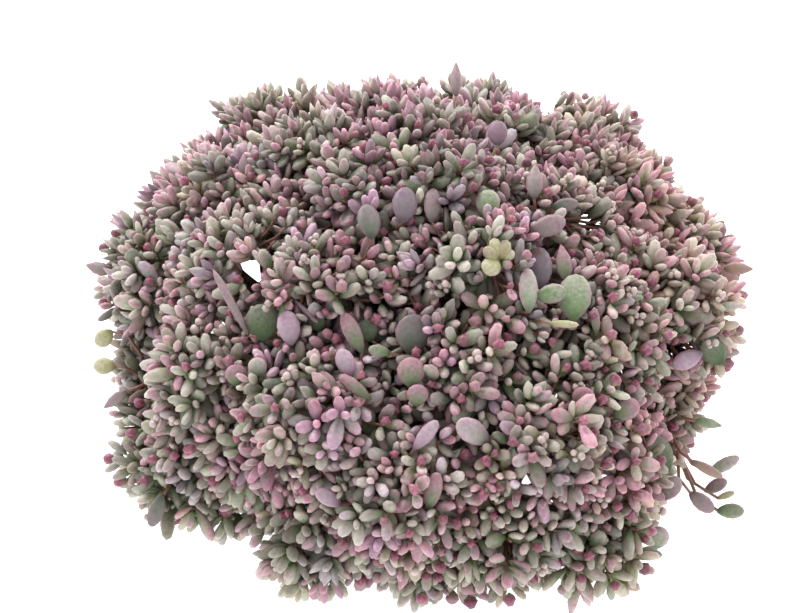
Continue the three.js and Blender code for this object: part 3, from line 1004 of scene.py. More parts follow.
    def grow_leaf(self, head: int, kind: Kind, base: np.ndarray, axis: np.ndarray, turn: float,
                  splay: float, length: float, whorl: Whorl, tint: Tint) -> bool:
        """Grows a leaf where there is room for it.

        Args:
            head: the index of its head.
            kind: its form.
            base: where it grows from.
            axis: the axis that it splays from.
            turn: its angle around the axis, in radians.
            splay: its angle from the axis, in degrees.
            length: its length.
            whorl: the level that it belongs to.
            tint: its colouring.

        Returns:
            Whether it found room.
        """
        draws = self.draws
        tries = self.TRIES
        first, second = across_to(axis)
        turns = turn + np.radians(np.linspace(0, 30, tries) * np.where(np.arange(tries) % 2, 1, -1))
        turns += draws.normal(0, 0.25)
        splays = np.radians(splay + draws.normal(0, 10, tries))
        out = np.cos(turns)[:, None] * first + np.sin(turns)[:, None] * second
        along = np.cos(splays)[:, None] * axis + np.sin(splays)[:, None] * out
        inner = np.sin(splays)[:, None] * axis - np.cos(splays)[:, None] * out
        lengths = length * np.linspace(1, 0.82, tries)
        leaf = Leaf(kind, np.tile(base, (tries, 1)), along, inner, lengths,
                    whorl.width * length * draws.uniform(0.9, 1.1),
                    whorl.thickness * length * draws.uniform(0.9, 1.1), whorl.cup)
        balls = leaf.balls()
        overlaps = self.thicket.overlaps(balls)
        clear = np.flatnonzero(overlaps < 0.5 * whorl.may_overlap)
        row = int(clear[0]) if len(clear) else int(np.argmin(overlaps))
        if overlaps[row] > whorl.may_overlap:
            return False
        self.thicket.take(balls[row])
        form = self.workshop.forms[kind]
        skin = Skin.BUD if kind in (Kind.BUD, Kind.KNOB) else Skin.LEAF
        self.bunches[head].add(form, leaf.placed(form, row), skin, tint)
        return True

    def surface_at(self, pixel: tuple[float, float], sink: float) -> np.ndarray:
        """The point at a pixel of the photograph, and this far behind the leaves' surface."""
        point = self.dome.seen_at(self.camera, pixel, 0)
        return point + self.camera.ray(pixel) * (self.EXTRA_SINK + sink - self.bulge_at(point))

    def leaning_tip(self, base: np.ndarray, piece: Showpiece) -> np.ndarray:
        """The tip of a large leaf, which leans along the dome but not far from or to the camera."""
        ray = self.camera.ray(piece.tip)
        level = self.camera.place + ray * ((base - self.camera.place) @ ray)
        most = self.MOST_LEAN * float(np.linalg.norm(level - base))
        lean = float((self.surface_at(piece.tip, piece.sink) - level) @ ray)
        return level + ray * min(most, max(-most, lean))

    def grow_showpiece(self, piece: Showpiece) -> None:
        """Grows one of the large leaves that the photograph shows, and keeps the view of it free."""
        base = self.surface_at(piece.base, piece.sink + piece.thickness)
        tip = self.leaning_tip(base, piece)
        length = float(np.linalg.norm(tip - base))
        along = (tip - base) / length
        toward = -self.camera.ray(piece.base)
        side = unit(np.cross(along, toward))
        turn = math.radians(piece.turn)
        inner = np.cross(side, along) * math.cos(turn) + side * math.sin(turn)
        leaf = Leaf(piece.kind, base[None], along[None], inner[None], np.array([length]),
                    piece.width, piece.thickness, piece.cup)
        depths = np.arange(-0.3, piece.clear, self.CLEARING_DEPTH_STEP)
        for share in np.arange(0.1, 1.0, self.CLEARING_STEP / length):
            for aside in np.arange(-0.4, 0.41, min(0.4, 3.0 / piece.width)):
                spot = base + along * length * share + side * piece.width * aside
                self.thicket.take(
                    np.append(spot + toward * depth, self.CLEARING_BALL) for depth in depths)
        index = self.nearest_head(base)
        form = self.workshop.forms[piece.kind]
        self.bunches[index].add(form, leaf.placed(form, 0), Skin.LEAF, piece.tint)
        rising = unit(self.heads[index].facing + 0.3 * along)
        line = self.stalk_line(self.heads[index], base + along, rising)
        self.add_stalk(index, line, self.LARGE_LEAF_STALK, Tint(0.6, piece.tint.greenness, 0.5, 0.3))

    def grow_level(self, sprig: Sprig, level: int) -> None:
        """Grows one level of a sprig."""
        whorl = sprig.habit.value[level]
        lower = level / (self.LEVELS - 1)
        for n in range(whorl.count):
            turn = sprig.turn + level * math.pi / 2 + n * 2 * math.pi / whorl.count
            kind = whorl.kinds[self.draws.integers(len(whorl.kinds))]
            length = whorl.length * sprig.size * self.draws.uniform(0.84, 1.12)
            if level and self.draws.uniform() < self.LONG_LEAF_SHARE:
                length *= self.LONG_LEAF
            base = sprig.base + sprig.axis * whorl.height * sprig.size
            tint = self.leaf_tint(sprig.tint, lower, kind)
            sprig.leaves += self.grow_leaf(
                sprig.head, kind, base, sprig.axis, turn, whorl.splay, length, whorl, tint)

    def add_stalk(self, head: int, controls: np.ndarray, thickness: tuple[float, float],
                  tint: Tint, thick: bool = False) -> None:
        """Bends a stalk along a curve and adds it to a head.

        Args:
            head: the index of the head.
            controls: the four control points of the curve.
            thickness: the diameter at its foot and at its end.
            tint: its colouring.
            thick: whether it is a main stem.
        """
        form = self.workshop.thick_stalk if thick else self.workshop.stalk
        x, y, z = form.points.T[:, :, None]
        rest = 1 - z
        a, b, c, d = controls
        middle = rest ** 3 * a + 3 * rest ** 2 * z * b + 3 * rest * z ** 2 * c + z ** 3 * d
        way = unit(rest ** 2 * (b - a) + 2 * rest * z * (c - b) + z ** 2 * (d - c) + 1e-9 * UP)
        side = across_to(unit(d - a))[0]
        first = unit(np.cross(way, side))
        second = np.cross(way, first)
        width = thickness[0] * rest + thickness[1] * z
        placed = middle + width * (x * second - y * first)
        self.bunches[head].add(form, placed, Skin.STALK, tint)

    def grow_stalks(self) -> None:
        """Grows each main stem, and the branchlets that carry its sprigs."""
        brown = Tint(0.5, 0.3, 0.4, 0.3)
        for index, head in enumerate(self.heads):
            end = head.line[3]
            upper = np.linspace(end, end + head.facing * self.BRANCHING_LENGTH, 4)
            self.add_stalk(index, head.line, self.MAIN_STALK, brown, thick=True)
            self.add_stalk(index, upper, self.UPPER_STALK, brown)
            for sprig in self.sprigs:
                if sprig.head == index and sprig.leaves:
                    tint = Tint(0.7, sprig.tint.greenness, 0.5, 0.4)
                    self.add_stalk(index, sprig.stalk, self.BRANCHLET, tint)

    def grow_along(self, index: int, line: np.ndarray, shares: Iterable[float], whorl: Whorl,
                   shared: Tint, lower: float) -> None:
        """Grows pairs of leaves along a stalk.

        Args:
            index: the head's index.
            line: the control points of the stalk.
            shares: where the pairs stand, as shares of the stalk.
            whorl: what a pair is like.
            shared: the colouring that the leaves have in common.
            lower: how much greener they are, and how much darker with painted shade.
        """
        draws = self.draws
        a, b, c, d = line
        turn = draws.uniform(0, math.pi)
        for t in shares:
            base = (1 - t) ** 3 * a + 3 * (1 - t) ** 2 * t * b + 3 * (1 - t) * t * t * c + t ** 3 * d
            way = unit((1 - t) ** 2 * (b - a) + 2 * (1 - t) * t * (c - b) + t * t * (d - c))
            turn += math.pi / 2 + draws.normal(0, 0.2)
            for n in range(whorl.count):
                kind = whorl.kinds[draws.integers(len(whorl.kinds))]
                length = whorl.length * draws.uniform(0.82, 1.12)
                self.grow_leaf(index, kind, base, way, turn + n * math.pi, whorl.splay, length,
                               whorl, self.leaf_tint(shared, lower, kind))

    def grow_lower_leaves(self) -> None:
        """Grows the leaves of the branchlets, and the large leaves of the main stems."""
        for sprig in self.sprigs:
            if sprig.leaves:
                self.grow_along(sprig.head, sprig.stalk, self.BRANCHLET_LEAVES, BRANCHLET_PAIR,
                                sprig.tint, 0.9)
        for index, head in enumerate(self.heads):
            length = float(np.linalg.norm(head.line[3] - head.line[0]))
            shares = np.arange(1.0, self.LOWEST_STEM_LEAF, -self.STEM_LEAF_STEP / length)
            shared = self.tint_at(head.crown, index)
            self.grow_along(index, head.line, shares, STEM_PAIR, shared, 1.3)

    def grow(self) -> None:
        """Grows the plant: the top level of every sprig first, so that each shows."""
        for hollow in HOLLOWS:
            self.thicket.take(hollow.balls(self.dome, self.camera))
        for piece in SHOWPIECES:
            self.grow_showpiece(piece)
        for level in range(self.LEVELS):
            for sprig in self.sprigs:
                self.grow_level(sprig, level)
        self.grow_lower_leaves()
        self.grow_stalks()

    def dress(self, materials: list[bpy.types.Material]) -> None:
        """Makes each head's bunch a piece in place of its node."""
        for head, bunch in zip(self.heads, self.bunches, strict=True):
            own_piece(bunch.build(materials), head.name)


def linear(colour: int) -> tuple[float, float, float, float]:
    """A colour written as in a paint chart, as Blender's linear values."""
    parts = ((colour >> shift & 255) / 255 for shift in (16, 8, 0))
    values = [part / 12.92 if part <= 0.04045 else ((part + 0.055) / 1.055) ** 2.4 for part in parts]
    return (*values, 1.0)


Socket = bpy.types.NodeSocket
Value = Socket | float | tuple[float, ...]


class Wiring:
    """A node tree that is wired in code."""

    def __init__(self, tree: bpy.types.NodeTree) -> None:
        """Starts from an empty tree."""
        self.tree = tree
        tree.nodes.clear()

    def node(self, kind: str, settings: dict[str, object] | None = None,
             **inputs: Value) -> bpy.types.Node:
        """Adds a node.

        Args:
            kind: the node's type.
            settings: its properties.
            inputs: a value or a socket for each input, with _ for the spaces in its name.

        Returns:
            The node.
        """
        node = self.tree.nodes.new(kind)
        for name, value in (settings or {}).items():
            setattr(node, name, value)
        for name, value in inputs.items():
            self.feed(node.inputs[name.replace("_", " ")], value)
        return node

    def feed(self, socket: Socket, value: Value) -> None:
        """Links a socket to another, or sets its value."""
        if isinstance(value, Socket):
            self.tree.links.new(value, socket)
        else:
            socket.default_value = value

    def blend(self, share: Value, first: Value, second: Value, way: str = "MIX") -> Socket:
        """Mixes two colours."""
        node = self.node("ShaderNodeMix", {"data_type": "RGBA", "blend_type": way})
        for index, value in ((0, share), (6, first), (7, second)):
            self.feed(node.inputs[index], value)
        return node.outputs[2]

    def shaded(self, colour: Value, shade: Value) -> Socket:
        """A colour made darker or lighter."""
        grey = self.node("ShaderNodeCombineColor", Red=shade, Green=shade, Blue=shade)
        return self.blend(1.0, colour, grey.outputs[0], "MULTIPLY")

    def maths(self, operation: str, first: Value, second: Value) -> Socket:
        """What a Math node makes of two values."""
        node = self.node("ShaderNodeMath", {"operation": operation})
        self.feed(node.inputs[0], first)
        self.feed(node.inputs[1], second)
        return node.outputs[0]

    def plus(self, first: Value, second: Value) -> Socket:
        """Two values added."""
        return self.maths("ADD", first, second)

    def minus(self, first: Value, second: Value) -> Socket:
        """One value less another."""
        return self.maths("SUBTRACT", first, second)

    def times(self, first: Value, second: Value) -> Socket:
        """Two values multiplied."""
        return self.maths("MULTIPLY", first, second)

    def step(self, value: Value, low: Value, high: Value, to_low: Value = 0.0,
             to_high: Value = 1.0) -> Socket:
        """A smooth step of a value from one range to another."""
        node = self.node("ShaderNodeMapRange", {"interpolation_type": "SMOOTHSTEP"})
        for index, given in enumerate((value, low, high, to_low, to_high)):
            self.feed(node.inputs[index], given)
        return node.outputs[0]

    def place(self) -> Socket:
        """The Object coordinates."""
        return self.node("ShaderNodeTexCoord").outputs["Object"]

    def noise(self, scale: Value, detail: float = 3.0, roughness: float = 0.5) -> Socket:
        """Noise on the Object coordinates."""
        return self.node("ShaderNodeTexNoise", Vector=self.place(), Scale=scale, Detail=detail,
                         Roughness=roughness).outputs[0]

    def tint(self) -> tuple[Socket, ...]:
        """The rosiness, greenness, tone with painted shade, and warmth of each leaf."""
        tint = self.node("ShaderNodeAttribute", {"attribute_name": "tint"})
        shares = self.node("ShaderNodeSeparateColor", Color=tint.outputs["Color"]).outputs
        return (*shares, tint.outputs["Alpha"])

    def growth(self) -> tuple[Socket, ...]:
        """How far a point lies along its leaf, to its inner side, and out on its margin or ridge."""
        growth = self.node("ShaderNodeAttribute", {"attribute_name": "growth"})
        return tuple(self.node("ShaderNodeSeparateXYZ", Vector=growth.outputs["Vector"]).outputs)


class GroupWiring(Wiring):
    """The wiring of a shader node group, which lays one thing over a colour."""

    OUTPUTS = {"Colour": "NodeSocketColor", "Roughness": "NodeSocketFloat", "Height": "NodeSocketFloat"}

    def __init__(self, name: str, inputs: dict[str, Value]) -> None:
        """Makes the group.

        Args:
            name: its name.
            inputs: each input with its usual value.
        """
        group = bpy.data.node_groups.new(name, "ShaderNodeTree")
        for label, value in inputs.items():
            kind = "NodeSocketColor" if isinstance(value, tuple) else "NodeSocketFloat"
            group.interface.new_socket(label, in_out="INPUT", socket_type=kind).default_value = value
        for label, kind in self.OUTPUTS.items():
            group.interface.new_socket(label, in_out="OUTPUT", socket_type=kind)
        super().__init__(group)
        self.given = self.node("NodeGroupInput").outputs

    def give(self, *values: Socket) -> bpy.types.NodeTree:
        """Feeds the group's outputs in their order, and gives the group."""
        out = self.node("NodeGroupOutput")
        for label, value in zip(self.OUTPUTS, values, strict=True):
            self.feed(out.inputs[label], value)
        return self.tree


class MaterialWiring(Wiring):
    """The wiring of a material with one Principled surface."""

    def __init__(self, name: str) -> None:
        """Makes the material."""
        self.material = bpy.data.materials.new(name)
        self.material.use_nodes = True
        super().__init__(self.material.node_tree)
        self.surface = self.node("ShaderNodeBsdfPrincipled")
        self.node("ShaderNodeOutputMaterial", Surface=self.surface.outputs[0])

    def under(self, group: bpy.types.NodeTree, **inputs: Value) -> bpy.types.bpy_prop_collection:
        """The outputs of a node group that is laid over a colour."""
        return self.node("ShaderNodeGroup", {"node_tree": group}, **inputs).outputs

    def finish(self, colour: Value, roughness: Value, height: Value, bump: float,
               depth: float) -> bpy.types.Material:
        """Feeds the surface.

        Args:
            colour: its colour.
            roughness: its roughness.
            height: the height of its fine relief.
            bump: how strongly the relief shows.
            depth: how deep the relief is, in metres.

        Returns:
            The material.
        """
        relief = self.node("ShaderNodeBump", Strength=bump, Distance=depth, Height=height)
        self.feed(self.surface.inputs["Base Color"], colour)
        self.feed(self.surface.inputs["Roughness"], roughness)
        self.feed(self.surface.inputs["Normal"], relief.outputs[0])
        return self.material


def make_bloom() -> bpy.types.NodeTree:
    """The waxy bloom that lies on the leaves, buds and stems, patchy and finely grained."""
    wiring = GroupWiring("waxy_bloom", {
        "Colour": (0.5, 0.5, 0.5, 1.0), "Bloom": (0.7, 0.7, 0.7, 1.0), "Amount": 0.4, "Grain": 600.0})
    given = wiring.given
    patches = wiring.noise(given["Grain"])
    grain = wiring.noise(wiring.times(given["Grain"], 5.0), 2.0)
    lying = wiring.step(wiring.plus(wiring.times(patches, 0.75), wiring.times(grain, 0.25)), 0.2, 0.75)
    share = wiring.times(lying, given["Amount"])
    return wiring.give(wiring.blend(share, given["Colour"], given["Bloom"]),
                       wiring.step(share, 0.0, 0.5, 0.4, 0.62),
                       wiring.plus(wiring.times(patches, 0.7), wiring.times(grain, 0.3)))


def make_dust() -> bpy.types.NodeTree:
    """Dust and splashes that gather towards the foot of a thing."""
    wiring = GroupWiring("settled_dust", {
        "Colour": (0.1, 0.1, 0.1, 1.0), "Dust": (0.3, 0.25, 0.2, 1.0), "Amount": 0.4, "Height": 0.05})
    given = wiring.given
    level = wiring.node("ShaderNodeSeparateXYZ", Vector=wiring.place()).outputs["Z"]
    low = wiring.minus(1.0, wiring.step(wiring.maths("DIVIDE", level, given["Height"]), 0.0, 1.0))
    spots = wiring.step(wiring.noise(140.0, 6.0, 0.7), 0.45, 0.7)
    lying = wiring.times(wiring.plus(wiring.times(low, 0.7), 0.3), spots)
    share = wiring.times(lying, given["Amount"])
    return wiring.give(wiring.blend(share, given["Colour"], given["Dust"]),
                       wiring.step(share, 0.0, 0.5, 0.38, 0.8),
                       wiring.noise(1500.0, 2.0))


@dataclass(frozen=True)
class LeafFinish:
    """Fleshy leaves: glaucous grey to mauve, rosier at the tip and margin, greener at the foot, with
    painted shade.
    """

    name: str = "pebble_leaf_skin"
    glaucous: int = 0x9C9B8B
    mauve: int = 0xA8758E
    rose: int = 0xBE627E
    green: int = 0x5C7F42
    lilac: int = 0xA088AA
    peach: int = 0xD09E7C
    bloom: int = 0xD8CBC8
    bloom_amount: float = 0.4
    gloss: float = 0.35
    bump: float = 0.12
    depth: float = 0.0006

    def make(self, bloom: bpy.types.NodeTree) -> bpy.types.Material:
        """Makes the material."""
        wiring = MaterialWiring(self.name)
        rosiness, greenness, tone_and_shade, warmth = wiring.tint()
        along, inner, margin = wiring.growth()
        patches = wiring.minus(wiring.noise(260.0, 2.0), 0.5)
        flow = wiring.plus(rosiness, wiring.times(patches, 0.8))
        colour = wiring.blend(wiring.step(flow, 0.15, 0.75), linear(self.glaucous), linear(self.mauve))
        flush = wiring.times(wiring.step(along, 0.3, 1.0), wiring.step(flow, 0.3, 1.0))
        edge = wiring.times(wiring.step(margin, 0.55, 1.0), wiring.step(flow, -0.3, 0.6))
        rosy = wiring.maths("MAXIMUM", flush, wiring.times(edge, 0.65))
        colour = wiring.blend(wiring.times(rosy, 0.6), colour, linear(self.rose))
        foot = wiring.step(along, 0.24, 0.9, 1.0, wiring.step(greenness, 0.8, 1.0, 0.12, 0.8))
        inside = wiring.minus(1.0, wiring.times(edge, 0.75))
        foot = wiring.times(wiring.times(foot, inside), wiring.step(greenness, 0.1, 1.0))
        colour = wiring.blend(foot, colour, linear(self.green))
        colour = wiring.blend(wiring.step(warmth, 0.25, 1.0, 0.0, 0.55), colour, linear(self.peach))
        colour = wiring.blend(wiring.step(warmth, 0.25, 0.0, 0.0, 0.45), colour, linear(self.lilac))
        amount = wiring.times(wiring.step(along, 0.1, 0.7, 0.3, 1.0), self.bloom_amount)
        waxy = wiring.under(bloom, Colour=colour, Bloom=linear(self.bloom), Amount=amount)
        # Painted shade: darker at the foot of each leaf and on its outer side, and by the tone channel's
        # painted shade
        shade = wiring.times(wiring.step(tone_and_shade, 0.0, 1.0, 0.5, 1.45),
                             wiring.step(along, 0.0, 0.3, 0.45, 1.0))
        shade = wiring.times(shade, wiring.step(inner, 0.0, 0.5, 0.9, 1.0))
        wiring.surface.inputs["Specular IOR Level"].default_value = self.gloss
        return wiring.finish(wiring.shaded(waxy["Colour"], shade), waxy["Roughness"], waxy["Height"],
                             self.bump, self.depth)


@dataclass(frozen=True)
class BudFinish:
    """Closed flower buds: crimson, or still a pale grey, with painted shade in the clefts between the
    lobes.
    """

    name: str = "flower_bud_skin"
    pale: int = 0xB9A9A2
    crimson: int = 0xAA4A6A
    deep: int = 0x86304E
    cleft_shade: int = 0x541C30
    foot: int = 0x8C8A62
    bloom: int = 0xDDB8C2
    bloom_amount: float = 0.22
    bloom_grain: float = 700.0
    bump: float = 0.15
    depth: float = 0.0005

    def make(self, bloom: bpy.types.NodeTree) -> bpy.types.Material:
        """Makes the material."""
        wiring = MaterialWiring(self.name)
        redness, deepness, tone_and_shade, _ = wiring.tint()
        along, _, ridge = wiring.growth()
        red = wiring.blend(deepness, linear(self.crimson), linear(self.deep))
        # Painted shade in the clefts between the lobes
        cleft_shading = wiring.times(wiring.step(ridge, 1.0, 0.2), 0.7)
        red = wiring.blend(cleft_shading, red, linear(self.cleft_shade))
        colour = wiring.blend(wiring.step(redness, 0.2, 0.7), linear(self.pale), red)
        colour = wiring.blend(wiring.step(along, 0.2, 0.6, 0.8, 0.0), colour, linear(self.foot))
        waxy = wiring.under(bloom, Colour=colour, Bloom=linear(self.bloom),
                            Amount=self.bloom_amount, Grain=self.bloom_grain)
        # Painted shade from the tone channel: darker towards the middle of the dome
        shade = wiring.step(tone_and_shade, 0.0, 1.0, 0.7, 1.3)
        return wiring.finish(wiring.shaded(waxy["Colour"], shade), waxy["Roughness"], waxy["Height"],
                             self.bump, self.depth)


@dataclass(frozen=True)
class StalkFinish:
    """Stems: red-brown to olive, with a thin bloom."""

    name: str = "stalk_skin"
    olive: int = 0x666A42
    russet: int = 0x7C4438
    bloom: int = 0xB49C93
    bloom_amount: float = 0.25
    bloom_grain: float = 500.0
    bump: float = 0.3
    depth: float = 0.0006

    def make(self, bloom: bpy.types.NodeTree) -> bpy.types.Material:
        """Makes the material."""
        wiring = MaterialWiring(self.name)
        redness, *_ = wiring.tint()
        flow = wiring.plus(redness, wiring.minus(wiring.noise(150.0), 0.5))
        colour = wiring.blend(wiring.step(flow, 0.2, 0.8), linear(self.olive), linear(self.russet))
        waxy = wiring.under(bloom, Colour=colour, Bloom=linear(self.bloom),
                            Amount=self.bloom_amount, Grain=self.bloom_grain)
        return wiring.finish(waxy["Colour"], waxy["Roughness"], waxy["Height"], self.bump, self.depth)


@dataclass(frozen=True)
class PlasticFinish:
    """The nursery pot's black plastic, dusty near its foot."""

    name: str = "nursery_pot_plastic"
    black: int = 0x26272A
    dust: int = 0x6E6558
    dust_amount: float = 0.45
    dust_height: float = 0.06
    bump: float = 0.12
    depth: float = 0.0003

    def make(self, dust: bpy.types.NodeTree) -> bpy.types.Material:
        """Makes the material."""
        wiring = MaterialWiring(self.name)
        dusty = wiring.under(dust, Colour=linear(self.black), Dust=linear(self.dust),
                             Amount=self.dust_amount, Height=self.dust_height)
        return wiring.finish(dusty["Colour"], dusty["Roughness"], dusty["Height"], self.bump, self.depth)


@dataclass(frozen=True)
class CrumbFinish:
    """Potting mix, bark or perlite, by its two colours and the scale of its grain."""

    name: str
    dark: int
    light: int
    grain: float
    dust: int = 0x4A3B2C
    dust_amount: float = 0.5
    dust_height: float = 0.2
    roughness: float = 0.92
    bump: float = 0.6
    depth: float = 0.001

    def make(self, dust: bpy.types.NodeTree) -> bpy.types.Material:
        """Makes the material."""
        wiring = MaterialWiring(self.name)
        grain = wiring.noise(self.grain, 6.0, 0.65)
        colour = wiring.blend(wiring.step(grain, 0.3, 0.7), linear(self.dark), linear(self.light))
        dusty = wiring.under(dust, Colour=colour, Dust=linear(self.dust),
                             Amount=self.dust_amount, Height=self.dust_height)
        return wiring.finish(dusty["Colour"], self.roughness, grain, self.bump, self.depth)


def turned_shape(name: str, rings: list[tuple[float, float]], sides: int) -> bpy.types.Object:
    """A closed round shape, drawn out ring by ring from its lowest face.

    Args:
        name: its name.
        rings: the radius and the height of each ring, in millimetres.
        sides: how many sides it has.

    Returns:
        The object, in object mode.
    """
    bpy.ops.object.select_all(action="DESELECT")
    (radius, height), *others = rings
    bpy.ops.mesh.primitive_circle_add(
        vertices=sides, radius=radius * MM, fill_type="NGON", location=(0, 0, height * MM))
    shape = bpy.context.object
    shape.name = name
    bpy.ops.object.transform_apply(location=True)
    bpy.ops.object.mode_set(mode="EDIT")
    bpy.ops.mesh.select_all(action="SELECT")
    for next_radius, next_height in others:
        bpy.ops.mesh.extrude_region_move(
            TRANSFORM_OT_translate={"value": (0, 0, (next_height - height) * MM)})
        scale = next_radius / radius
        bpy.ops.transform.resize(value=(scale, scale, 1), center_override=(0, 0, next_height * MM))
        radius, height = next_radius, next_height
    bpy.ops.mesh.select_all(action="SELECT")
    bpy.ops.mesh.normals_make_consistent(inside=False)
    bpy.ops.object.mode_set(mode="OBJECT")
    return shape


def finish_with(shape: bpy.types.Object, kind: str, **settings: object) -> None:
    """Adds a modifier to an object and applies it."""
    bpy.context.view_layer.objects.active = shape
    modifier = shape.modifiers.new(kind.lower(), kind)
    for name, value in settings.items():
        setattr(modifier, name, value)
    bpy.ops.object.modifier_apply(modifier=modifier.name)


def own_piece(piece: bpy.types.Object, node: str,
              material: bpy.types.Material | None = None) -> None:
    """Puts a finished piece in place of a node and finish."""
    if material:
        piece.data.materials.clear()
        piece.data.materials.append(material)
    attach(piece, "root")
    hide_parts(node)
    log.info("%s: %d faces", piece.name, len(piece.data.polygons))


@dataclass(frozen=True)
class NurseryPot:
    """The round plastic pot, with a banded rim, a lip and drain holes."""

    height: float = 108.0
    top_radius: float = 70.0
    base_radius: float = 51.0
    wall: float = 1.6
    floor: float = 2.4
    band_height: float = 15.0
    band_slope: float = 3.0
    band_out: float = 2.6
    lip_out: float = 2.2
    lip_height: float = 2.4
    drain_count: int = 5
    drain_radius: float = 5.0
    drain_circle: float = 36.0
    sides: int = 96
    edge: float = 0.5

    def radius_at(self, height: float) -> float:
        """The outer radius of the wall at a height."""
        return self.base_radius + (self.top_radius - self.base_radius) * height / self.height

    def build(self, material: bpy.types.Material) -> None:
        """Models the pot and puts it in place of its node."""
        band_low = self.height - self.band_height
        wall_top = band_low - self.band_slope
        band = self.radius_at(band_low) + self.band_out
        rim = self.top_radius + self.band_out
        lip = rim + self.lip_out
        under_lip = self.height - self.lip_height
        pot = turned_shape("nursery_pot", [
            (self.base_radius, 0),
            (self.radius_at(wall_top), wall_top),
            (band, band_low),
            (rim, under_lip),
            (lip, under_lip),
            (lip, self.height),
            (rim - self.wall, self.height),
            (band - self.wall, band_low + self.wall),
            (self.radius_at(wall_top) - self.wall, wall_top + self.wall),
            (self.base_radius - self.wall, self.floor),
        ], self.sides)
        finish_with(pot, "BEVEL", width=self.edge * MM, segments=3, limit_method="ANGLE",
                    angle_limit=math.radians(12))
        for n in range(self.drain_count):
            turn = 2 * math.pi * n / self.drain_count
            bpy.ops.object.select_all(action="DESELECT")
            bpy.ops.mesh.primitive_cylinder_add(
                vertices=24, radius=self.drain_radius * MM, depth=4 * self.floor * MM,
                location=(self.drain_circle * MM * math.cos(turn),
                          self.drain_circle * MM * math.sin(turn), self.floor / 2 * MM))
            drill = bpy.context.object
            finish_with(pot, "BOOLEAN", object=drill, operation="DIFFERENCE", solver="EXACT")
            bpy.data.objects.remove(drill)
        bpy.ops.object.select_all(action="DESELECT")
        pot.select_set(True)
        bpy.context.view_layer.objects.active = pot
        bpy.ops.object.shade_smooth_by_angle(angle=math.radians(30))
        own_piece(pot, "pot", material)


@dataclass(frozen=True)
class PottingMix:
    """The mix in the pot: a rough mound, with bark and perlite on it."""

    SEED = 5

    pot: NurseryPot
    below_rim: float = 11.0
    seat_gap: float = 0.3
    rings: int = 24
    sides: int = 72
    roughness: float = 2.2
    chip_count: int = 420
    grain_count: int = 190
    scatter_radius: float = 64.0
    room_for_stem: float = 4.5

    def inner(self, height: float) -> float:
        """The radius of the mix at a height."""
        return self.pot.radius_at(height) - self.pot.wall - 2 * self.seat_gap

    def build(self, dome: Dome, heads: list[Head], workshop: Workshop,
              materials: tuple[bpy.types.Material, ...]) -> None:
        """Models the mix and what lies on it.

        Args:
            dome: the rule that gives the height of the mix.
            heads: the stems, which the crumbs keep clear of.
            workshop: where the crumbs' forms come from.
            materials: of the mix, the bark and the perlite.
        """
        edge_top = self.pot.height - self.below_rim
        wall_top = self.pot.height - self.pot.band_height - self.pot.band_slope
        edge = self.inner(edge_top)
        radii = [edge * (1 - n / self.rings) for n in range(1, self.rings)]
        mound = turned_shape("potting_mix_mound", [
            (self.inner(self.pot.floor), self.pot.floor + self.seat_gap),
            (self.inner(wall_top), wall_top),
            (edge, edge_top),
            *((radius, dome.mix_top(radius)) for radius in radii),
        ], self.sides)
        rough = bpy.data.textures.new("mix_lumps", "CLOUDS")
        rough.noise_scale = 0.006
        rough.noise_depth = 3
        top = mound.vertex_groups.new(name="top")
        top.add([v.index for v in mound.data.vertices
                 if v.co.z > (edge_top + 0.1) * MM and v.co.xy.length < 0.96 * edge * MM], 1, "REPLACE")
        finish_with(mound, "DISPLACE", texture=rough, strength=self.roughness * MM, mid_level=0.6,
                    direction="Z", vertex_group="top")
        for polygon in mound.data.polygons:
            polygon.use_smooth = True
        own_piece(mound, "potting_mix", materials[0])
        self.scatter(dome, heads, workshop, materials[1:])

    def scatter(self, dome: Dome, heads: list[Head], workshop: Workshop,
                materials: tuple[bpy.types.Material, ...]) -> None:
        """Scatters bark chips and perlite over the mound."""
        draws = np.random.default_rng(self.SEED)
        roots = np.array([head.line[0, :2] for head in heads])
        for name, form, count, sizes, material in (
            ("bark_chips", workshop.chip, self.chip_count, (5.5, 3.4, 1.7), materials[0]),
            ("perlite_grains", workshop.grain, self.grain_count, (2.6, 2.3, 2.1), materials[1]),
        ):
            bunch = Bunch(name)
            while bunch.count < count * len(form.points):
                turn = draws.uniform(0, 2 * math.pi)
                radius = self.scatter_radius * math.sqrt(draws.uniform())
                spot = np.array((radius * math.cos(turn), radius * math.sin(turn)))
                if np.linalg.norm(roots - spot, axis=1).min() < self.room_for_stem:
                    continue
                axes = np.linalg.qr(draws.normal(0, 1, (3, 3)) * (1, 1, 0.25) + np.eye(3))[0]
                size = np.array(sizes) * draws.uniform(0.6, 1.3)
                centre = np.array((*spot, dome.mix_top(radius) + 0.25 * size[2]))
                placed = centre + (form.points * size) @ axes.T
                bunch.add(form, placed, Skin.LEAF, Tint(0, 0, 0, 0))
            piece = bunch.build([material])
            for polygon in piece.data.polygons:
                polygon.use_smooth = name == "perlite_grains"
            own_piece(piece, "potting_mix")


@dataclass(frozen=True)
class Softbox:
    """A square area light that faces the plant. Its place is in metres."""

    name: str
    place: tuple[float, float, float]
    size: float
    power: float
    aim: tuple[float, float, float] = (0.0, 0.0, 0.12)

    def make(self) -> None:
        """Adds the light."""
        bpy.ops.object.light_add(type="AREA", location=self.place)
        light = bpy.context.object
        light.name = self.name
        light.data.size = self.size
        light.data.energy = self.power
        x, y, z = np.array(self.aim) - np.array(self.place)
        light.rotation_euler = (math.atan2(math.hypot(x, y), -z), 0, math.atan2(y, x) - math.pi / 2)


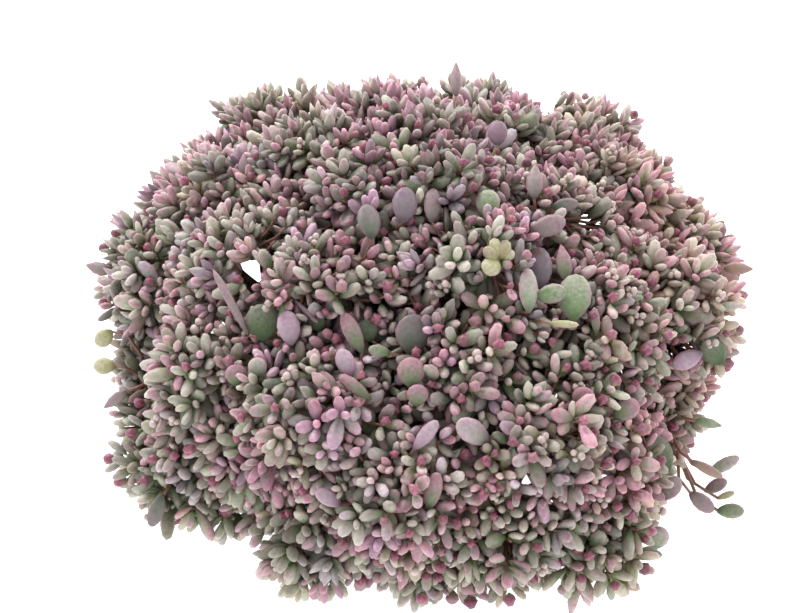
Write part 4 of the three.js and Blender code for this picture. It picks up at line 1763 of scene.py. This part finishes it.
@dataclass(frozen=True)
class Studio:
    """A plain white floor and soft white light."""

    floor_size: float = 8.0
    floor_level: float = -0.0003
    floor_white: float = 0.9
    floor_glow: float = 0.7
    horizon: float = 1.8
    zenith: float = 0.42
    sky: tuple[float, float, float, float] = (0.97, 0.985, 1.0, 1.0)
    softboxes: tuple[Softbox, ...] = (
        Softbox("window_light", (-0.5, 0.8, 1.15), 0.7, 20.0),
        Softbox("back_fill", (0.9, 0.9, 0.7), 1.0, 9.5),
    )

    def build(self) -> None:
        """Adds the floor, the sky and the lights."""
        self.lay_floor()
        self.light_sky()
        for softbox in self.softboxes:
            softbox.make()
        view = bpy.context.scene.view_settings
        view.view_transform = "Standard"
        view.look = "None"
        view.exposure = 0.0

    def lay_floor(self) -> None:
        """Adds the floor, which glows a little so that it stays white."""
        bpy.ops.mesh.primitive_plane_add(size=self.floor_size, location=(0, 0, self.floor_level))
        floor = bpy.context.object
        floor.name = "studio_floor"
        wiring = MaterialWiring("studio_white")
        white = (self.floor_white, self.floor_white, self.floor_white, 1.0)
        for name, value in (("Base Color", white), ("Roughness", 0.95), ("Specular IOR Level", 0.1),
                            ("Emission Color", white), ("Emission Strength", self.floor_glow)):
            wiring.feed(wiring.surface.inputs[name], value)
        floor.data.materials.append(wiring.material)
        floor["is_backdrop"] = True

    def light_sky(self) -> None:
        """Makes a sky that is brighter near the horizon."""
        world = bpy.data.worlds.new("studio_sky")
        world.use_nodes = True
        wiring = Wiring(world.node_tree)
        way = wiring.node("ShaderNodeTexCoord").outputs["Generated"]
        climb = wiring.node("ShaderNodeSeparateXYZ", Vector=way).outputs["Z"]
        strength = wiring.step(climb, 0.1, 1.0, self.horizon, self.zenith)
        background = wiring.node("ShaderNodeBackground", Color=self.sky, Strength=strength)
        wiring.node("ShaderNodeOutputWorld", Surface=background.outputs[0])
        bpy.context.scene.world = world


def write_sizes() -> None:
    """Works out the box of the CAD model and of the finished one."""
    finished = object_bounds()
    boxes = {"cad": CAD_BOX, "visual": finished}
    plain = {name: [list(corner) for corner in box] for name, box in boxes.items()}


def main() -> None:
    """Builds the pieces in order and reports each."""
    logging.basicConfig(level=logging.INFO, format="%(message)s")
    camera = PhotoCamera()
    camera.make()
    Studio().build()
    workshop = Workshop()
    plant = Stonecrop(workshop, camera)
    plant.grow()
    bloom, dust = make_bloom(), make_dust()
    plant.dress([LeafFinish().make(bloom), BudFinish().make(bloom), StalkFinish().make(bloom)])
    pot = NurseryPot()
    pot.build(PlasticFinish().make(dust))
    crumbs = (CrumbFinish("peat_and_coir", 0x1E1611, 0x4A3728, 900.0),
              CrumbFinish("pine_bark", 0x3A2417, 0x7A5236, 500.0),
              CrumbFinish("perlite_white", 0xC9C6BC, 0xEEECE6, 700.0))
    PottingMix(pot).build(plant.dome, plant.heads, workshop, tuple(c.make(dust) for c in crumbs))
    write_sizes()


if __name__ == "__main__":
    main()
